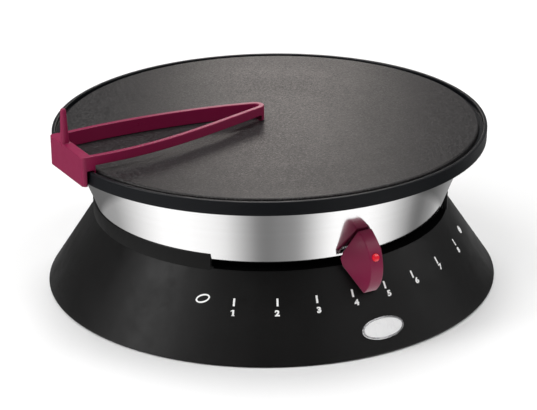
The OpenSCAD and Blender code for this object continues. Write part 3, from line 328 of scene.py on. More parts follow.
def makeFlecks(setup):
    group, start, end = newGroup(
        "flecks",
        [("Vector", "NodeSocketVector", None), ("Fleck Scale", "NodeSocketFloat", 900.0),
         ("Share", "NodeSocketFloat", 0.2), ("Size", "NodeSocketFloat", 0.3)],
        [("Mask", "NodeSocketFloat")],
    )
    cells = addNode(group, "ShaderNodeTexVoronoi", (-600, 100))
    join(group, start.outputs["Vector"], cells.inputs["Vector"])
    join(group, start.outputs["Fleck Scale"], cells.inputs["Scale"])
    tone = addNode(group, "ShaderNodeSeparateColor", (-400, -50))
    join(group, cells.outputs["Color"], tone.inputs[0])
    chosen = mathNode(group, "LESS_THAN", tone.outputs[0], start.outputs["Share"], (-200, -50))
    inside = mathNode(group, "SUBTRACT", start.outputs["Size"], cells.outputs["Distance"], (-200, 150))
    soft = mathNode(group, "MULTIPLY", inside, setup["crispness"], (0, 150), clamp=True)
    join(group, mathNode(group, "MULTIPLY", soft, chosen, (200, 60)), end.inputs["Mask"])
    return group


# Faint wiping marks and settled dust, more of it on what faces up

handlingTexture = {
    "bend": 0.04,    # Metres that the smears are pushed aside
    "smearLow": 0.45,
    "smearHigh": 0.75,
    "moteScale": 700.0,
    "moteLow": 0.5,
    "moteHigh": 0.85,
    "dustFacing": 0.2,    # Least upward facing that holds dust
}


def makeHandling(setup):
    group, start, end = newGroup(
        "handling",
        [("Vector", "NodeSocketVector", None), ("Smear Scale", "NodeSocketFloat", 12.0)],
        [("Smear", "NodeSocketFloat"), ("Dust", "NodeSocketFloat")],
    )
    vector = start.outputs["Vector"]
    smearScale = start.outputs["Smear Scale"]
    bend = addNode(group, "ShaderNodeTexNoise", (-700, 150))
    join(group, vector, bend.inputs["Vector"])
    join(group, smearScale, bend.inputs["Scale"])
    pushed = addNode(group, "ShaderNodeVectorMath", (-500, 150), operation="MULTIPLY_ADD")
    join(group, bend.outputs["Color"], pushed.inputs[0])
    pushed.inputs[1].default_value = (setup["bend"],) * 3
    join(group, vector, pushed.inputs[2])
    finer = mathNode(group, "MULTIPLY", smearScale, 3.0, (-500, 0))
    smear = noiseNode(group, pushed.outputs[0], finer, 5.0, 0.7, (-250, 150))
    join(group, stretchNode(group, smear, setup["smearLow"], setup["smearHigh"], (0, 150)),
         end.inputs["Smear"])
    facing = addNode(group, "ShaderNodeNewGeometry", (-700, -250))
    upward = addNode(group, "ShaderNodeSeparateXYZ", (-500, -250))
    join(group, facing.outputs["Normal"], upward.inputs[0])
    up = stretchNode(group, upward.outputs[2], setup["dustFacing"], 1.0, (-300, -250))
    motes = noiseNode(group, vector, setup["moteScale"], 4.0, 0.8, (-300, -420))
    settled = stretchNode(group, motes, setup["moteLow"], setup["moteHigh"], (-100, -420))
    join(group, mathNode(group, "MULTIPLY", up, settled, (100, -300)), end.inputs["Dust"])
    return group


mouldGrain = makeMouldGrain(grainTexture)
turnedLines = makeTurnedLines(lineTexture)
flecks = makeFlecks(fleckTexture)
handling = makeHandling(handlingTexture)


class Finish:
    # One Principled material with Object coordinates and a few handy ways to feed it
    def __init__(self, name, colour, roughness, metallic=0.0):
        self.material = bpy.data.materials.new(name)
        self.material.use_nodes = True
        self.tree = self.material.node_tree
        self.tree.nodes.clear()
        self.out = addNode(self.tree, "ShaderNodeOutputMaterial", (900, 0))
        self.shader = addNode(self.tree, "ShaderNodeBsdfPrincipled", (600, 0))
        join(self.tree, self.shader.outputs[0], self.out.inputs["Surface"])
        self.place = addNode(self.tree, "ShaderNodeTexCoord", (-900, 0)).outputs["Object"]
        self.colour = colour
        self.roughness = roughness
        self.set("Base Color", (*colour, 1.0))
        self.set("Roughness", roughness)
        self.set("Metallic", metallic)
        self.row = 300

    def set(self, label, value):
        self.shader.inputs[label].default_value = value

    def group(self, source, **values):
        node = addNode(self.tree, "ShaderNodeGroup", (-650, self.row))
        self.row -= 220
        node.node_tree = source
        join(self.tree, self.place, node.inputs["Vector"])
        for label, value in values.items():
            node.inputs[label.replace("_", " ")].default_value = value
        return node.outputs

    def noise(self, scale, detail=3.0, roughness=0.6):
        self.row -= 200
        return noiseNode(self.tree, self.place, scale, detail, roughness, (-650, self.row))

    def math(self, operation, a, b=None, clamp=False):
        return mathNode(self.tree, operation, a, b, (-300, self.row), clamp)

    def stretch(self, value, low, high):
        return stretchNode(self.tree, value, low, high, (-300, self.row))

    def tint(self, mask, colour, share=1.0):
        # Lays another colour over the present one, where the mask is bright
        mix = addNode(self.tree, "ShaderNodeMix", (100, self.row), data_type="RGBA")
        self.row -= 60
        factor = self.math("MULTIPLY", mask, share, clamp=True)
        join(self.tree, factor, mix.inputs["Factor"])
        present = self.shader.inputs["Base Color"]
        if present.is_linked:
            join(self.tree, present.links[0].from_socket, mix.inputs["A"])
        else:
            mix.inputs["A"].default_value = (*self.colour, 1.0)
        mix.inputs["B"].default_value = (*colour, 1.0)
        join(self.tree, mix.outputs["Result"], present)
        return self

    def rough(self, mask, amount):
        # Adds the mask, centred on a half, to the roughness
        present = self.shader.inputs["Roughness"]
        start = present.links[0].from_socket if present.is_linked else self.roughness
        shift = self.math("MULTIPLY", self.math("SUBTRACT", mask, 0.5), amount)
        join(self.tree, self.math("ADD", shift, start, clamp=True), present)
        return self

    def bump(self, height, depth):
        # Depth in metres; a second call rides on the first
        node = addNode(self.tree, "ShaderNodeBump", (350, self.row - 100))
        node.inputs["Strength"].default_value = 1.0
        node.inputs["Distance"].default_value = depth
        join(self.tree, height, node.inputs["Height"])
        present = self.shader.inputs["Normal"]
        if present.is_linked:
            join(self.tree, present.links[0].from_socket, node.inputs["Normal"])
        join(self.tree, node.outputs[0], present)
        return self


mouldedLook = {
    "mottleShare": 0.25,
    "mottleGloss": 0.10,
    "smearGloss": 0.12,
    "dustColour": (0.45, 0.44, 0.42),
}


def moulded(name, colour, roughness, grain, depth, light, dust=0.0):
    # A moulded plastic or rubber: grain, a slow unevenness of tone and gloss, wiping marks
    made = Finish(name, colour, roughness)
    texture = made.group(mouldGrain, Grain_Scale=grain)
    marks = made.group(handling)
    made.tint(texture["Mottle"], light, mouldedLook["mottleShare"])
    made.tint(marks["Dust"], mouldedLook["dustColour"], dust)
    made.rough(texture["Mottle"], mouldedLook["mottleGloss"])
    made.rough(marks["Smear"], mouldedLook["smearGloss"])
    made.bump(texture["Height"], depth)
    return made


metalLook = {
    "bandShare": 0.35,
    "fleckScale": 420.0,
    "fleckShare": 0.3,
    "fleckSize": 0.3,
    "lineGloss": 0.4,    # Both against the wear
    "smearGloss": 0.5,
}


def metalFinish(name, colour, roughness, lineScale, depth, dark, flecked=0.0, wear=0.25):
    # A worked metal: lines that run round it, bands of tone, wiping marks and, on raw metal, flecks
    made = Finish(name, colour, roughness, 1.0)
    lines = made.group(turnedLines, Line_Scale=lineScale)
    marks = made.group(handling)
    made.tint(lines["Bands"], dark, metalLook["bandShare"])
    made.tint(marks["Smear"], dark, wear)
    if flecked:
        spots = made.group(flecks, Fleck_Scale=metalLook["fleckScale"], Share=metalLook["fleckShare"],
                           Size=metalLook["fleckSize"])
        made.tint(spots["Mask"], dark, flecked)
    made.rough(lines["Lines"], metalLook["lineGloss"] * wear)
    made.rough(marks["Smear"], metalLook["smearGloss"] * wear)
    made.bump(lines["Lines"], depth)
    return made


# Plastics, rubbers, flock, ceramic and print: base colour, then the lighter tone of the mottle

blackPlastic = moulded("blackPlastic", (0.0048, 0.0046, 0.0046), roughness=0.46, grain=4200.0,
                       depth=0.04 * mm, light=(0.0085, 0.0080, 0.0080), dust=0.02)
blackPlastic.set("Specular IOR Level", 0.17)
# The bottom cover's black is lighter than the skirt's so that it shows in the dim light below: painted
# light
coverBlack = moulded("coverBlack", (0.026, 0.026, 0.027), roughness=0.50, grain=3800.0,
                     depth=0.06 * mm, light=(0.036, 0.036, 0.037), dust=0.02)
bandBlack = moulded("bandBlack", (0.0045, 0.0052, 0.0068), roughness=0.42, grain=5200.0,
                    depth=0.03 * mm, light=(0.0070, 0.0080, 0.0105), dust=0.01)
bandBlack.set("Specular IOR Level", 0.23)
raspberry = moulded("raspberryPlastic", (0.215, 0.0070, 0.0500), roughness=0.38, grain=5200.0,
                    depth=0.03 * mm, light=(0.245, 0.0095, 0.0590), dust=0.02)
raspberry.set("Specular IOR Level", 0.34)
# The feet's rubber is partly its own grey and partly lightened so that the dimly lit feet don't read as
# holes: painted light
rubberFoot = moulded("footRubber", (0.055, 0.055, 0.057), roughness=0.72, grain=2600.0,
                     depth=0.12 * mm, light=(0.080, 0.079, 0.077), dust=0.25)
bushRubber = moulded("bushRubber", (0.020, 0.020, 0.021), roughness=0.60, grain=3200.0,
                     depth=0.08 * mm, light=(0.026, 0.026, 0.026), dust=0.10)
# Near-black flock without sheen, laid in the selector's slot as painted shade
shadeFlockBlack = moulded("shadeFlockBlack", (0.0024, 0.0024, 0.0024), roughness=0.95, grain=2400.0,
                     depth=0.06 * mm, light=(0.0036, 0.0036, 0.0036))
shadeFlockBlack.set("Specular IOR Level", 0.0)
nylon = moulded("naturalNylon", (0.66, 0.62, 0.52), roughness=0.42, grain=3000.0,
                depth=0.06 * mm, light=(0.72, 0.69, 0.60), dust=0.05)
whiteCeramic = moulded("whiteCeramic", (0.74, 0.70, 0.61), roughness=0.58, grain=1500.0,
                       depth=0.10 * mm, light=(0.66, 0.61, 0.51), dust=0.08)
whitePrint = moulded("whitePrint", (0.92, 0.92, 0.91), roughness=0.55, grain=6000.0,
                     depth=0.02 * mm, light=(0.85, 0.85, 0.84))

# Metals: base colour, then the tone of the bands, smears and flecks

bowlSteel = metalFinish("bowlSteel", (0.95, 0.945, 0.945), roughness=0.10, lineScale=1900.0,
                        depth=0.001 * mm, dark=(0.90, 0.89, 0.885), wear=0.06)
bowlSteel.set("Anisotropic", 0.6)
bowlSteel.set("Anisotropic Rotation", 0.25)
aroundBowl = addNode(bowlSteel.tree, "ShaderNodeTangent", (300, -500), direction_type="RADIAL", axis="Z")
join(bowlSteel.tree, aroundBowl.outputs[0], bowlSteel.shader.inputs["Tangent"])
zincSteel = metalFinish("zincSteel", (0.56, 0.57, 0.58), roughness=0.36, lineScale=2600.0,
                        depth=0.02 * mm, dark=(0.40, 0.41, 0.43), flecked=0.35)
reflectorSheet = metalFinish("reflectorSheet", (0.70, 0.71, 0.72), roughness=0.30, lineScale=1500.0,
                             depth=0.02 * mm, dark=(0.58, 0.59, 0.61), flecked=0.3)
elementSteel = metalFinish("elementSteel", (0.17, 0.165, 0.16), roughness=0.52, lineScale=2800.0,
                           depth=0.03 * mm, dark=(0.07, 0.06, 0.055), flecked=0.6)
badgeEdge = metalFinish("badgeEdge", (0.70, 0.70, 0.71), roughness=0.17, lineScale=3000.0,
                        depth=0.004 * mm, dark=(0.74, 0.74, 0.76))
copperFinish = metalFinish("copperFinish", (0.66, 0.34, 0.22), roughness=0.34, lineScale=2200.0,
                           depth=0.02 * mm, dark=(0.38, 0.17, 0.09), flecked=0.4)

# Non-stick hotplate: turned aluminium under a grey coating with flecks and a fine peel

plateLook = {
    "colour": (0.0096, 0.0094, 0.0098),
    "roughness": 0.42,
    "specular": 0.22,
    "specularTint": (1.0, 0.93, 0.89, 1.0),
    "mottle": (0.0140, 0.0136, 0.0140),
    "mottleShare": 0.5,
    "curdle": (0.036, 0.035, 0.036),
    "curdleShare": 0.8,
    "curdleScale": 620.0,
    "curdleLow": 0.40,
    "curdleHigh": 0.64,
    "curdleGloss": 0.22,
    "fleck": (0.064, 0.062, 0.063),
    "fleckShare": 0.45,
    "wearGloss": 0.03,
    "turnedDepth": 0.02 * mm,
    "peelDepth": 0.05 * mm,
    "curdleDepth": 0.03 * mm,
}


def makeNonstick(look):
    made = Finish("nonstick", look["colour"], look["roughness"])
    peel = made.group(mouldGrain, Grain_Scale=2600.0)
    turned = made.group(turnedLines, Line_Scale=700.0)
    pale = made.group(flecks, Fleck_Scale=520.0, Share=0.35, Size=0.45)
    marks = made.group(handling, Smear_Scale=9.0)
    curdle = made.stretch(made.noise(look["curdleScale"], 3.0, 0.7), look["curdleLow"], look["curdleHigh"])
    made.tint(peel["Mottle"], look["mottle"], look["mottleShare"])
    made.tint(curdle, look["curdle"], look["curdleShare"])
    made.tint(pale["Mask"], look["fleck"], look["fleckShare"])
    made.rough(turned["Bands"], look["wearGloss"])
    made.rough(marks["Smear"], look["wearGloss"])
    made.rough(curdle, look["curdleGloss"])
    made.set("Specular IOR Level", look["specular"])
    made.set("Specular Tint", look["specularTint"])
    made.bump(turned["Lines"], look["turnedDepth"])
    made.bump(peel["Height"], look["peelDepth"])
    made.bump(curdle, look["curdleDepth"])
    return made


nonstick = makeNonstick(plateLook)

# Badge: pale enamel under a clear coat

badgeFace = Finish("badgeFace", (0.93, 0.93, 0.93), 0.30)
badgeGrain = badgeFace.group(mouldGrain, Grain_Scale=4200.0)
badgeMarks = badgeFace.group(handling)
badgeFace.tint(badgeGrain["Mottle"], (0.88, 0.88, 0.885), 0.5)
badgeFace.rough(badgeMarks["Smear"], 0.10)
badgeFace.bump(badgeGrain["Height"], 0.02 * mm)
badgeFace.set("Coat Weight", 0.6)
badgeFace.set("Coat Roughness", 0.12)

# Lens: clear red over a lamp, so it glows at its middle and stays deep red round the edge. The pale pink of
# the middle is a painted highlight, standing in for the lamps' glints on the lens.

lensLook = {
    "colour": (0.40, 0.004, 0.016),
    "flute": (0.55, 0.012, 0.03),
    "roughness": 0.14,
    "glowEdge": (0.36, 0.002, 0.010, 1.0),
    "glowAndPaintedHighlight": (1.0, 0.16, 0.17, 1.0),
    "glowFrom": 3.4 * mm,    # Distance from the lens's middle where the glow starts, and where it's full
    "glowFull": 1.6 * mm,
    "glowStrength": 0.9,
}


def makeLensRed(look):
    low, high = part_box("pilot_lens")
    made = Finish("lensRed", look["colour"], look["roughness"])
    flute = made.group(mouldGrain, Grain_Scale=1400.0)
    fromMiddle = addNode(made.tree, "ShaderNodeVectorMath", (-650, -400), operation="DISTANCE")
    join(made.tree, made.place, fromMiddle.inputs[0])
    fromMiddle.inputs[1].default_value = [(least + most) / 2 for least, most in zip(low, high)]
    # The glow is the lamp's own; its pale middle is a painted highlight
    glowAndHighlightSpot = made.stretch(fromMiddle.outputs["Value"], look["glowFrom"], look["glowFull"])
    made.tint(flute["Mottle"], look["flute"], 0.6)
    glow = addNode(made.tree, "ShaderNodeMix", (300, -300), data_type="RGBA")
    join(made.tree, glowAndHighlightSpot, glow.inputs["Factor"])
    glow.inputs["A"].default_value = look["glowEdge"]
    glow.inputs["B"].default_value = look["glowAndPaintedHighlight"]
    join(made.tree, glow.outputs["Result"], made.shader.inputs["Emission Color"])
    made.rough(flute["Mottle"], 0.06)
    made.bump(flute["Height"], 0.04 * mm)
    made.set("Transmission Weight", 0.2)
    made.set("IOR", 1.49)
    made.set("Coat Weight", 0.7)
    made.set("Emission Strength", look["glowStrength"])
    return made


lensRed = makeLensRed(lensLook)

# Neon lamp: warm glass with a faint glow

lampGlass = Finish("lampGlass", (0.92, 0.62, 0.42), 0.08)
lampCloud = lampGlass.group(mouldGrain, Grain_Scale=900.0)
lampGlass.tint(lampCloud["Mottle"], (0.98, 0.45, 0.22), 0.6)
lampGlass.rough(lampCloud["Mottle"], 0.08)
lampGlass.bump(lampCloud["Height"], 0.03 * mm)
lampGlass.set("Transmission Weight", 0.6)
lampGlass.set("Emission Color", (1.0, 0.35, 0.12, 1.0))
lampGlass.set("Emission Strength", 0.4)


def wireSleeve(name, colour, worn):
    # Wire insulation: braid-like relief and grubbier patches
    made = Finish(name, colour, 0.5)
    weave = made.group(flecks, Fleck_Scale=1500.0, Share=0.9, Size=0.5)
    grime = made.group(handling, Smear_Scale=40.0)
    made.tint(grime["Smear"], worn, 0.5)
    made.rough(grime["Smear"], 0.15)
    made.bump(weave["Mask"], 0.08 * mm)
    return made


wireBrown = wireSleeve("wireBrown", (0.20, 0.085, 0.035), (0.11, 0.05, 0.025))
wireBlue = wireSleeve("wireBlue", (0.045, 0.15, 0.38), (0.03, 0.08, 0.2))
wireGreen = wireSleeve("wireGreen", (0.12, 0.33, 0.07), (0.35, 0.38, 0.05))
wireWhite = wireSleeve("wireWhite", (0.72, 0.70, 0.65), (0.50, 0.46, 0.38))

finishOf = {
    "black_plastic": blackPlastic, "band_black": bandBlack, "nonstick": nonstick,
    "bowl_steel": bowlSteel, "zinc_steel": zincSteel, "reflector_sheet": reflectorSheet,
    "element_steel": elementSteel, "raspberry_plastic": raspberry, "badge_face": badgeFace,
    "badge_edge": badgeEdge, "white_print": whitePrint, "rubber": rubberFoot,
    "bush_rubber": bushRubber, "nylon": nylon, "white_ceramic": whiteCeramic,
    "copper": copperFinish, "lamp_glass": lampGlass, "lens_red": lensRed,
    "wire_brown": wireBrown, "wire_blue": wireBlue, "wire_green": wireGreen,
    "wire_white": wireWhite,
}
for subpart in frame["record"]["subparts"]:
    node = nodes[subpart["node"]]
    for materialSlot in node.material_slots:
        materialSlot.material = finishOf[subpart["material_slot"]].material
for materialSlot in nodes["bottom_cover"].material_slots:
    materialSlot.material = coverBlack.material

# The bowl mirrors the table and the knob. These would put the dark skirt and the knob's works in it.
unseenInMirror = (
    "base_shell", "scale_marks", "badge_plate", "badge_rim", "pilot_lens", "bottom_cover",
    "cover_screws", "rubber_feet", "cord_bush", "cord_clamp", "clamp_screws", "terminal_block",
    "wire_live", "wire_neutral", "wire_earth", "lamp_holder", "holder_screws", "lamp_leads",
    "pilot_lamp", "selector_arm",
)
for nodeName in unseenInMirror:
    nodes[nodeName].visible_glossy = False
print("materials:", len(finishOf))


# Softened copies: the CAD shape with its edges rounded as a mould leaves them

softEdges = {
    "batter_spreader": {"piece": "softSpreader", "body": "spreader", "edge": 0.6 * mm, "steps": 3,
                        "finish": raspberry, "slot": "raspberry_plastic",
                        "sharperThan": 40, "fullWidth": True},
    "knob_shell": {"piece": "softKnob", "body": "selector", "edge": 0.6 * mm, "steps": 3,
                   "finish": raspberry, "slot": "raspberry_plastic",
                   "sharperThan": 28, "fullWidth": True},
    "rim_band": {"piece": "softBand", "body": "root", "edge": 0.5 * mm, "steps": 2,
                 "finish": bandBlack, "slot": "band_black",
                 "sharperThan": 28, "fullWidth": False},
    "base_shell": {"piece": "softBase", "body": "root", "edge": 0.4 * mm, "steps": 2,
                   "finish": blackPlastic, "slot": "black_plastic",
                   "sharperThan": 28, "fullWidth": False},
    "rubber_feet": {"piece": "softFeet", "body": "root", "edge": 0.35 * mm, "steps": 2,
                    "finish": rubberFoot, "slot": "rubber",
                    "sharperThan": 28, "fullWidth": False,
                    "grooveFacing": (0, 0, -1), "grooves": 2, "land": 1.5 * mm, "grooveDepth": 0.6 * mm},
    "cord_bush": {"piece": "softBush", "body": "root", "edge": 0.5 * mm, "steps": 3,
                  "finish": bushRubber, "slot": "bush_rubber",
                  "sharperThan": 28, "fullWidth": False,
                  "grooveFacing": (0, 1, 0), "grooves": 1, "land": 1.1 * mm, "grooveDepth": 0.7 * mm},
}
grooveCut = {
    "within": 0.1 * mm,    # Of the outermost point
    "sameFacing": 0.99,
    "flankShare": 0.25,    # Of the groove's depth
}


def cutGrooves(piece, setup):
    # Ring grooves in the outermost face on one side
    facing = Vector(setup["grooveFacing"])
    outermost = max(vert.co.dot(facing) for vert in piece.data.vertices)
    makeActive(piece)
    bpy.ops.object.mode_set(mode="EDIT")
    pickFaces(piece, lambda middle, normal: normal.dot(facing) > grooveCut["sameFacing"]
              and middle.dot(facing) > outermost - grooveCut["within"])
    flank = setup["grooveDepth"] * grooveCut["flankShare"]
    for _ in range(setup["grooves"]):
        for way in (-1, 1):
            bpy.ops.mesh.inset(thickness=setup["land"], depth=0)
            bpy.ops.mesh.inset(thickness=flank, depth=way * setup["grooveDepth"])
    bpy.ops.object.mode_set(mode="OBJECT")


def softenedCopy(nodeName, setup):
    source = nodes[nodeName]
    piece = bpy.data.objects.new(setup["piece"], source.data.copy())
    scene.collection.objects.link(piece)
    makeActive(piece)
    bpy.ops.mesh.customdata_custom_splitnormals_clear()
    bpy.ops.object.mode_set(mode="EDIT")
    bpy.ops.mesh.select_all(action="SELECT")
    bpy.ops.mesh.remove_doubles(threshold=weldReach)
    bpy.ops.mesh.dissolve_limited(angle_limit=flatAngle)
    bpy.ops.mesh.normals_make_consistent(inside=False)
    bpy.ops.object.mode_set(mode="OBJECT")
    roundEdges(piece, setup["edge"], setup["steps"], setup["sharperThan"], setup["fullWidth"])
    tidyMesh(piece)
    if "grooves" in setup:
        cutGrooves(piece, setup)
    bpy.ops.object.shade_smooth_by_angle(angle=smoothAngle)
    bpy.ops.object.modifier_add(type="WEIGHTED_NORMAL")
    piece.modifiers[-1].keep_sharp = True
    bpy.ops.object.modifier_apply(modifier=piece.modifiers[-1].name)
    finishPiece(piece, setup["piece"], setup["body"], setup["finish"].material,
                (nodeName,))
    piece.visible_glossy = source.visible_glossy
    return piece


for nodeName, setup in softEdges.items():
    piece = softenedCopy(nodeName, setup)
    print("softened", nodeName, len(piece.data.polygons), "faces")


# Stiffening beads and ribs moulded on the bottom cover, and a collar round each screw

coverRelief = {
    "beads": [104 * mm, 122 * mm],
    "beadWidth": 2.4 * mm,
    "beadSteps": 144,
    "height": 0.9 * mm,
    "sink": 0.1 * mm,    # How far the relief reaches into the cover
    "ribs": 36,
    "ribWidth": 1.6 * mm,
    "ribFoot": 0.6,    # Share of the width that is left at the rib's edge
    "downFacing": -0.9,
    "collarRadius": 5.6 * mm,
    "collarWidth": 1.44 * mm,
    "collarSteps": 40,
    "screwCircle": 149.6 * mm,
    "screws": 6,
    "round": 0.35 * mm,
    "roundSteps": 2,
    "sharperThan": 50,
}


def flatRing(inner, outer, height, thick, steps, unwanted=None):
    # A flat ring from a height, upwards or, with a negative thickness, downwards
    deselectAll()
    bpy.ops.mesh.primitive_circle_add(vertices=steps, radius=inner, location=(0, 0, height))
    ring = bpy.context.object
    grow = outer / inner
    bpy.ops.object.mode_set(mode="EDIT")
    bpy.ops.mesh.select_all(action="SELECT")
    bpy.ops.mesh.extrude_edges_move()
    bpy.ops.transform.resize(value=(grow, grow, 1))
    if unwanted:
        pickFaces(ring, unwanted)
        bpy.ops.mesh.delete(type="FACE")
    bpy.ops.mesh.select_all(action="SELECT")
    bpy.ops.mesh.extrude_region_move(TRANSFORM_OT_translate={"value": (0, 0, thick)})
    bpy.ops.mesh.select_all(action="SELECT")
    bpy.ops.mesh.normals_make_consistent(inside=False)
    bpy.ops.object.mode_set(mode="OBJECT")
    applyPlace(ring)
    return ring


def raisedRing(radius, width, height, top, steps):
    return flatRing(radius - width / 2, radius + width / 2, top, -height, steps)


def copyTurned(obj, degrees):
    twin = obj.copy()
    twin.data = obj.data.copy()
    scene.collection.objects.link(twin)
    twin.data.transform(azimuthTurn(degrees))
    return twin


def makeCoverRelief(setup):
    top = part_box("bottom_cover")[0][2] + setup["sink"]
    height = setup["height"] + setup["sink"]
    made = [raisedRing(radius, setup["beadWidth"], height, top, setup["beadSteps"])
            for radius in setup["beads"]]
    inner, outer = setup["beads"]
    deselectAll()
    bpy.ops.mesh.primitive_cube_add(size=1, location=(0, 0, 0))
    rib = bpy.context.object
    bpy.ops.object.mode_set(mode="EDIT")
    bpy.ops.mesh.select_all(action="SELECT")
    bpy.ops.transform.resize(value=(outer - inner, setup["ribWidth"], height))
    bpy.ops.transform.translate(value=((outer + inner) / 2, 0, top - height / 2))
    pickFaces(rib, lambda middle, normal: normal.z < setup["downFacing"])
    bpy.ops.transform.resize(value=(1, setup["ribFoot"], 1))
    bpy.ops.object.mode_set(mode="OBJECT")
    step = 360 / setup["ribs"]
    made += [rib] + [copyTurned(rib, step * turn) for turn in range(1, setup["ribs"])]
    collar = raisedRing(setup["collarRadius"], setup["collarWidth"], height, top, setup["collarSteps"])
    collar.data.transform(Matrix.Translation((setup["screwCircle"], 0, 0)))
    step = 360 / setup["screws"]
    made += [collar] + [copyTurned(collar, step * turn) for turn in range(1, setup["screws"])]
    relief = joinAll(made)
    roundEdges(relief, setup["round"], setup["roundSteps"], setup["sharperThan"])
    bpy.ops.object.shade_smooth_by_angle(angle=smoothAngle)
    finishPiece(relief, "coverRelief", "root", coverBlack.material)
    relief.visible_glossy = False


makeCoverRelief(coverRelief)
print("cover relief made")


# Numerals of the heat scale, printed on the skirt under the dashes

scaleNumbers = {
    "azimuth": [-39.5, -27.65, -16.3, -5.4, 5.1, 15.9, 27.4, 40.9],
    "height": [33.5, 33.9, 34.3, 35.3, 36.0, 37.4, 37.7, 37.3],
    "size": 6.9 * mm,
    "squat": 0.84,
    "weight": 0.36 * mm,
    "ink": 0.06 * mm,
    "flagReach": 1.25 * mm,
    "footReach": 1.15 * mm,
    "serif": 0.85 * mm,
    "flagTilt": 0.9,    # Both against the serif's height
    "flagDrop": 0.62,
    "curveSteps": 6,
    "weld": 0.02 * mm,
}
skirt = {"topRadius": 139.7 * mm, "topHeight": 60 * mm, "slope": 0.6622}


def onSkirt(azimuth, height, lift):
    # A frame on the skirt's slope: X runs round, Y runs up the slope, Z stands off it
    angle = math.radians(azimuth)
    outward = Vector((math.sin(angle), -math.cos(angle), 0))
    around = Vector((math.cos(angle), math.sin(angle), 0))
    lean = math.hypot(1, skirt["slope"])
    away = (outward + Vector((0, 0, skirt["slope"]))) / lean
    upSlope = (Vector((0, 0, 1)) - outward * skirt["slope"]) / lean
    radius = skirt["topRadius"] + skirt["slope"] * (skirt["topHeight"] - height)
    spot = outward * radius + Vector((0, 0, height)) + away * lift
    return Matrix.Translation(spot) @ Matrix((around, upSlope, away)).transposed().to_4x4()


def addSerifs(numeral, setup):
    # The one gets a flag at its top and a foot under it
    top = max(vert.co.y for vert in numeral.data.vertices)
    foot = min(vert.co.y for vert in numeral.data.vertices)
    right = max(vert.co.x for vert in numeral.data.vertices)
    left = min(vert.co.x for vert in numeral.data.vertices)
    serif = setup["serif"]
    middle = (left + right) / 2
    for kind in ("flag", "foot"):
        makeActive(numeral)
        bpy.ops.object.mode_set(mode="EDIT")
        bpy.ops.mesh.select_all(action="DESELECT")
        bpy.ops.mesh.primitive_cube_add(size=1, location=(0, 0, 0))
        if kind == "foot":
            bpy.ops.transform.resize(value=(2 * setup["footReach"], serif, setup["ink"]))
            bpy.ops.transform.translate(value=(middle, foot + serif / 2, 0))
        else:
            bpy.ops.transform.resize(value=(setup["flagReach"], serif, setup["ink"]))
            farEnd = [vert for vert in bmesh.from_edit_mesh(numeral.data).verts
                      if vert.select and vert.co.x < 0]
            for vert in farEnd:
                vert.co.y -= serif * setup["flagTilt"]
            bmesh.update_edit_mesh(numeral.data)
            drop = top - serif * setup["flagDrop"]
            bpy.ops.transform.translate(value=(left - setup["flagReach"] / 2, drop, 0))
        bpy.ops.object.mode_set(mode="OBJECT")


def makeNumerals(setup):
    made = []
    for index, azimuth in enumerate(setup["azimuth"]):
        deselectAll()
        bpy.ops.object.text_add(location=(0, 0, 0))
        numeral = bpy.context.object
        numeral.data.body = str(index + 1)
        numeral.data.align_x = "CENTER"
        numeral.data.align_y = "CENTER"
        numeral.data.size = setup["size"]
        numeral.data.offset = setup["weight"]
        numeral.data.extrude = setup["ink"] / 2
        numeral.data.resolution_u = setup["curveSteps"]
        bpy.ops.object.convert(target="MESH")
        numeral = bpy.context.object
        if index == 0:
            addSerifs(numeral, setup)
        numeral.data.transform(Matrix.Diagonal((1, setup["squat"], 1, 1)))
        numeral.data.transform(onSkirt(azimuth, setup["height"][index] * mm, setup["ink"] / 2))
        made.append(numeral)
    numerals = joinAll(made)
    tidyMesh(numerals, setup["weld"])
    finishPiece(numerals, "scaleNumerals", "root", whitePrint.material)
    numerals.visible_glossy = False


makeNumerals(scaleNumbers)
print("numerals printed")


# Felt pad under the selector knob, so that it glides over the skirt. Riding with the knob, it also puts a
# painted dark reflection into the bowl beside the knob, in place of the skirt that the bowl doesn't mirror.

feltPadAndMirrorShade = {
    "azimuth": -1.0,
    "lowHeight": 42.5 * mm,
    "topHeight": 59.7 * mm,
    "lowHalf": 4.8 * mm,
    "topHalf": 15.9 * mm,
    "lowLift": 0.25 * mm,
    "topLift": 0.95 * mm,    # Clears the foot of the collar at both ends of the travel
    "thick": 0.8 * mm,
    "columns": 14,
    "rows": 5,
    "round": 0.25 * mm,
    "roundSteps": 2,
    "sharperThan": 40,
}


def makeFeltPadAndMirrorShade(setup):
    deselectAll()
    bpy.ops.mesh.primitive_grid_add(x_subdivisions=setup["columns"], y_subdivisions=setup["rows"], size=2)
    felt = bpy.context.object
    for vert in felt.data.vertices:
        climb = (vert.co.y + 1) / 2
        height = setup["lowHeight"] + (setup["topHeight"] - setup["lowHeight"]) * climb
        reach = vert.co.x * (setup["lowHalf"] + (setup["topHalf"] - setup["lowHalf"]) * climb)
        radius = skirt["topRadius"] + skirt["slope"] * (skirt["topHeight"] - height)
        azimuth = setup["azimuth"] + math.degrees(reach / radius)
        lift = setup["lowLift"] + (setup["topLift"] - setup["lowLift"]) * climb
        vert.co = onSkirt(azimuth, height, lift).to_translation()
    pad = felt.modifiers.new("pad", "SOLIDIFY")
    pad.thickness = setup["thick"]
    pad.offset = 1
    bpy.ops.object.modifier_apply(modifier="pad")
    roundEdges(felt, setup["round"], setup["roundSteps"], setup["sharperThan"])
    bpy.ops.object.shade_smooth_by_angle(angle=smoothAngle)
    finishPiece(felt, "feltPadAndMirrorShade", "selector", bushRubber.material)


makeFeltPadAndMirrorShade(feltPadAndMirrorShade)
print("felt pad made")


# Black flock on the deck and the wall's top at the slot for the selector's arm, laid there as painted
# shade: it makes the ledge under the bowl as black as the shadowed gap

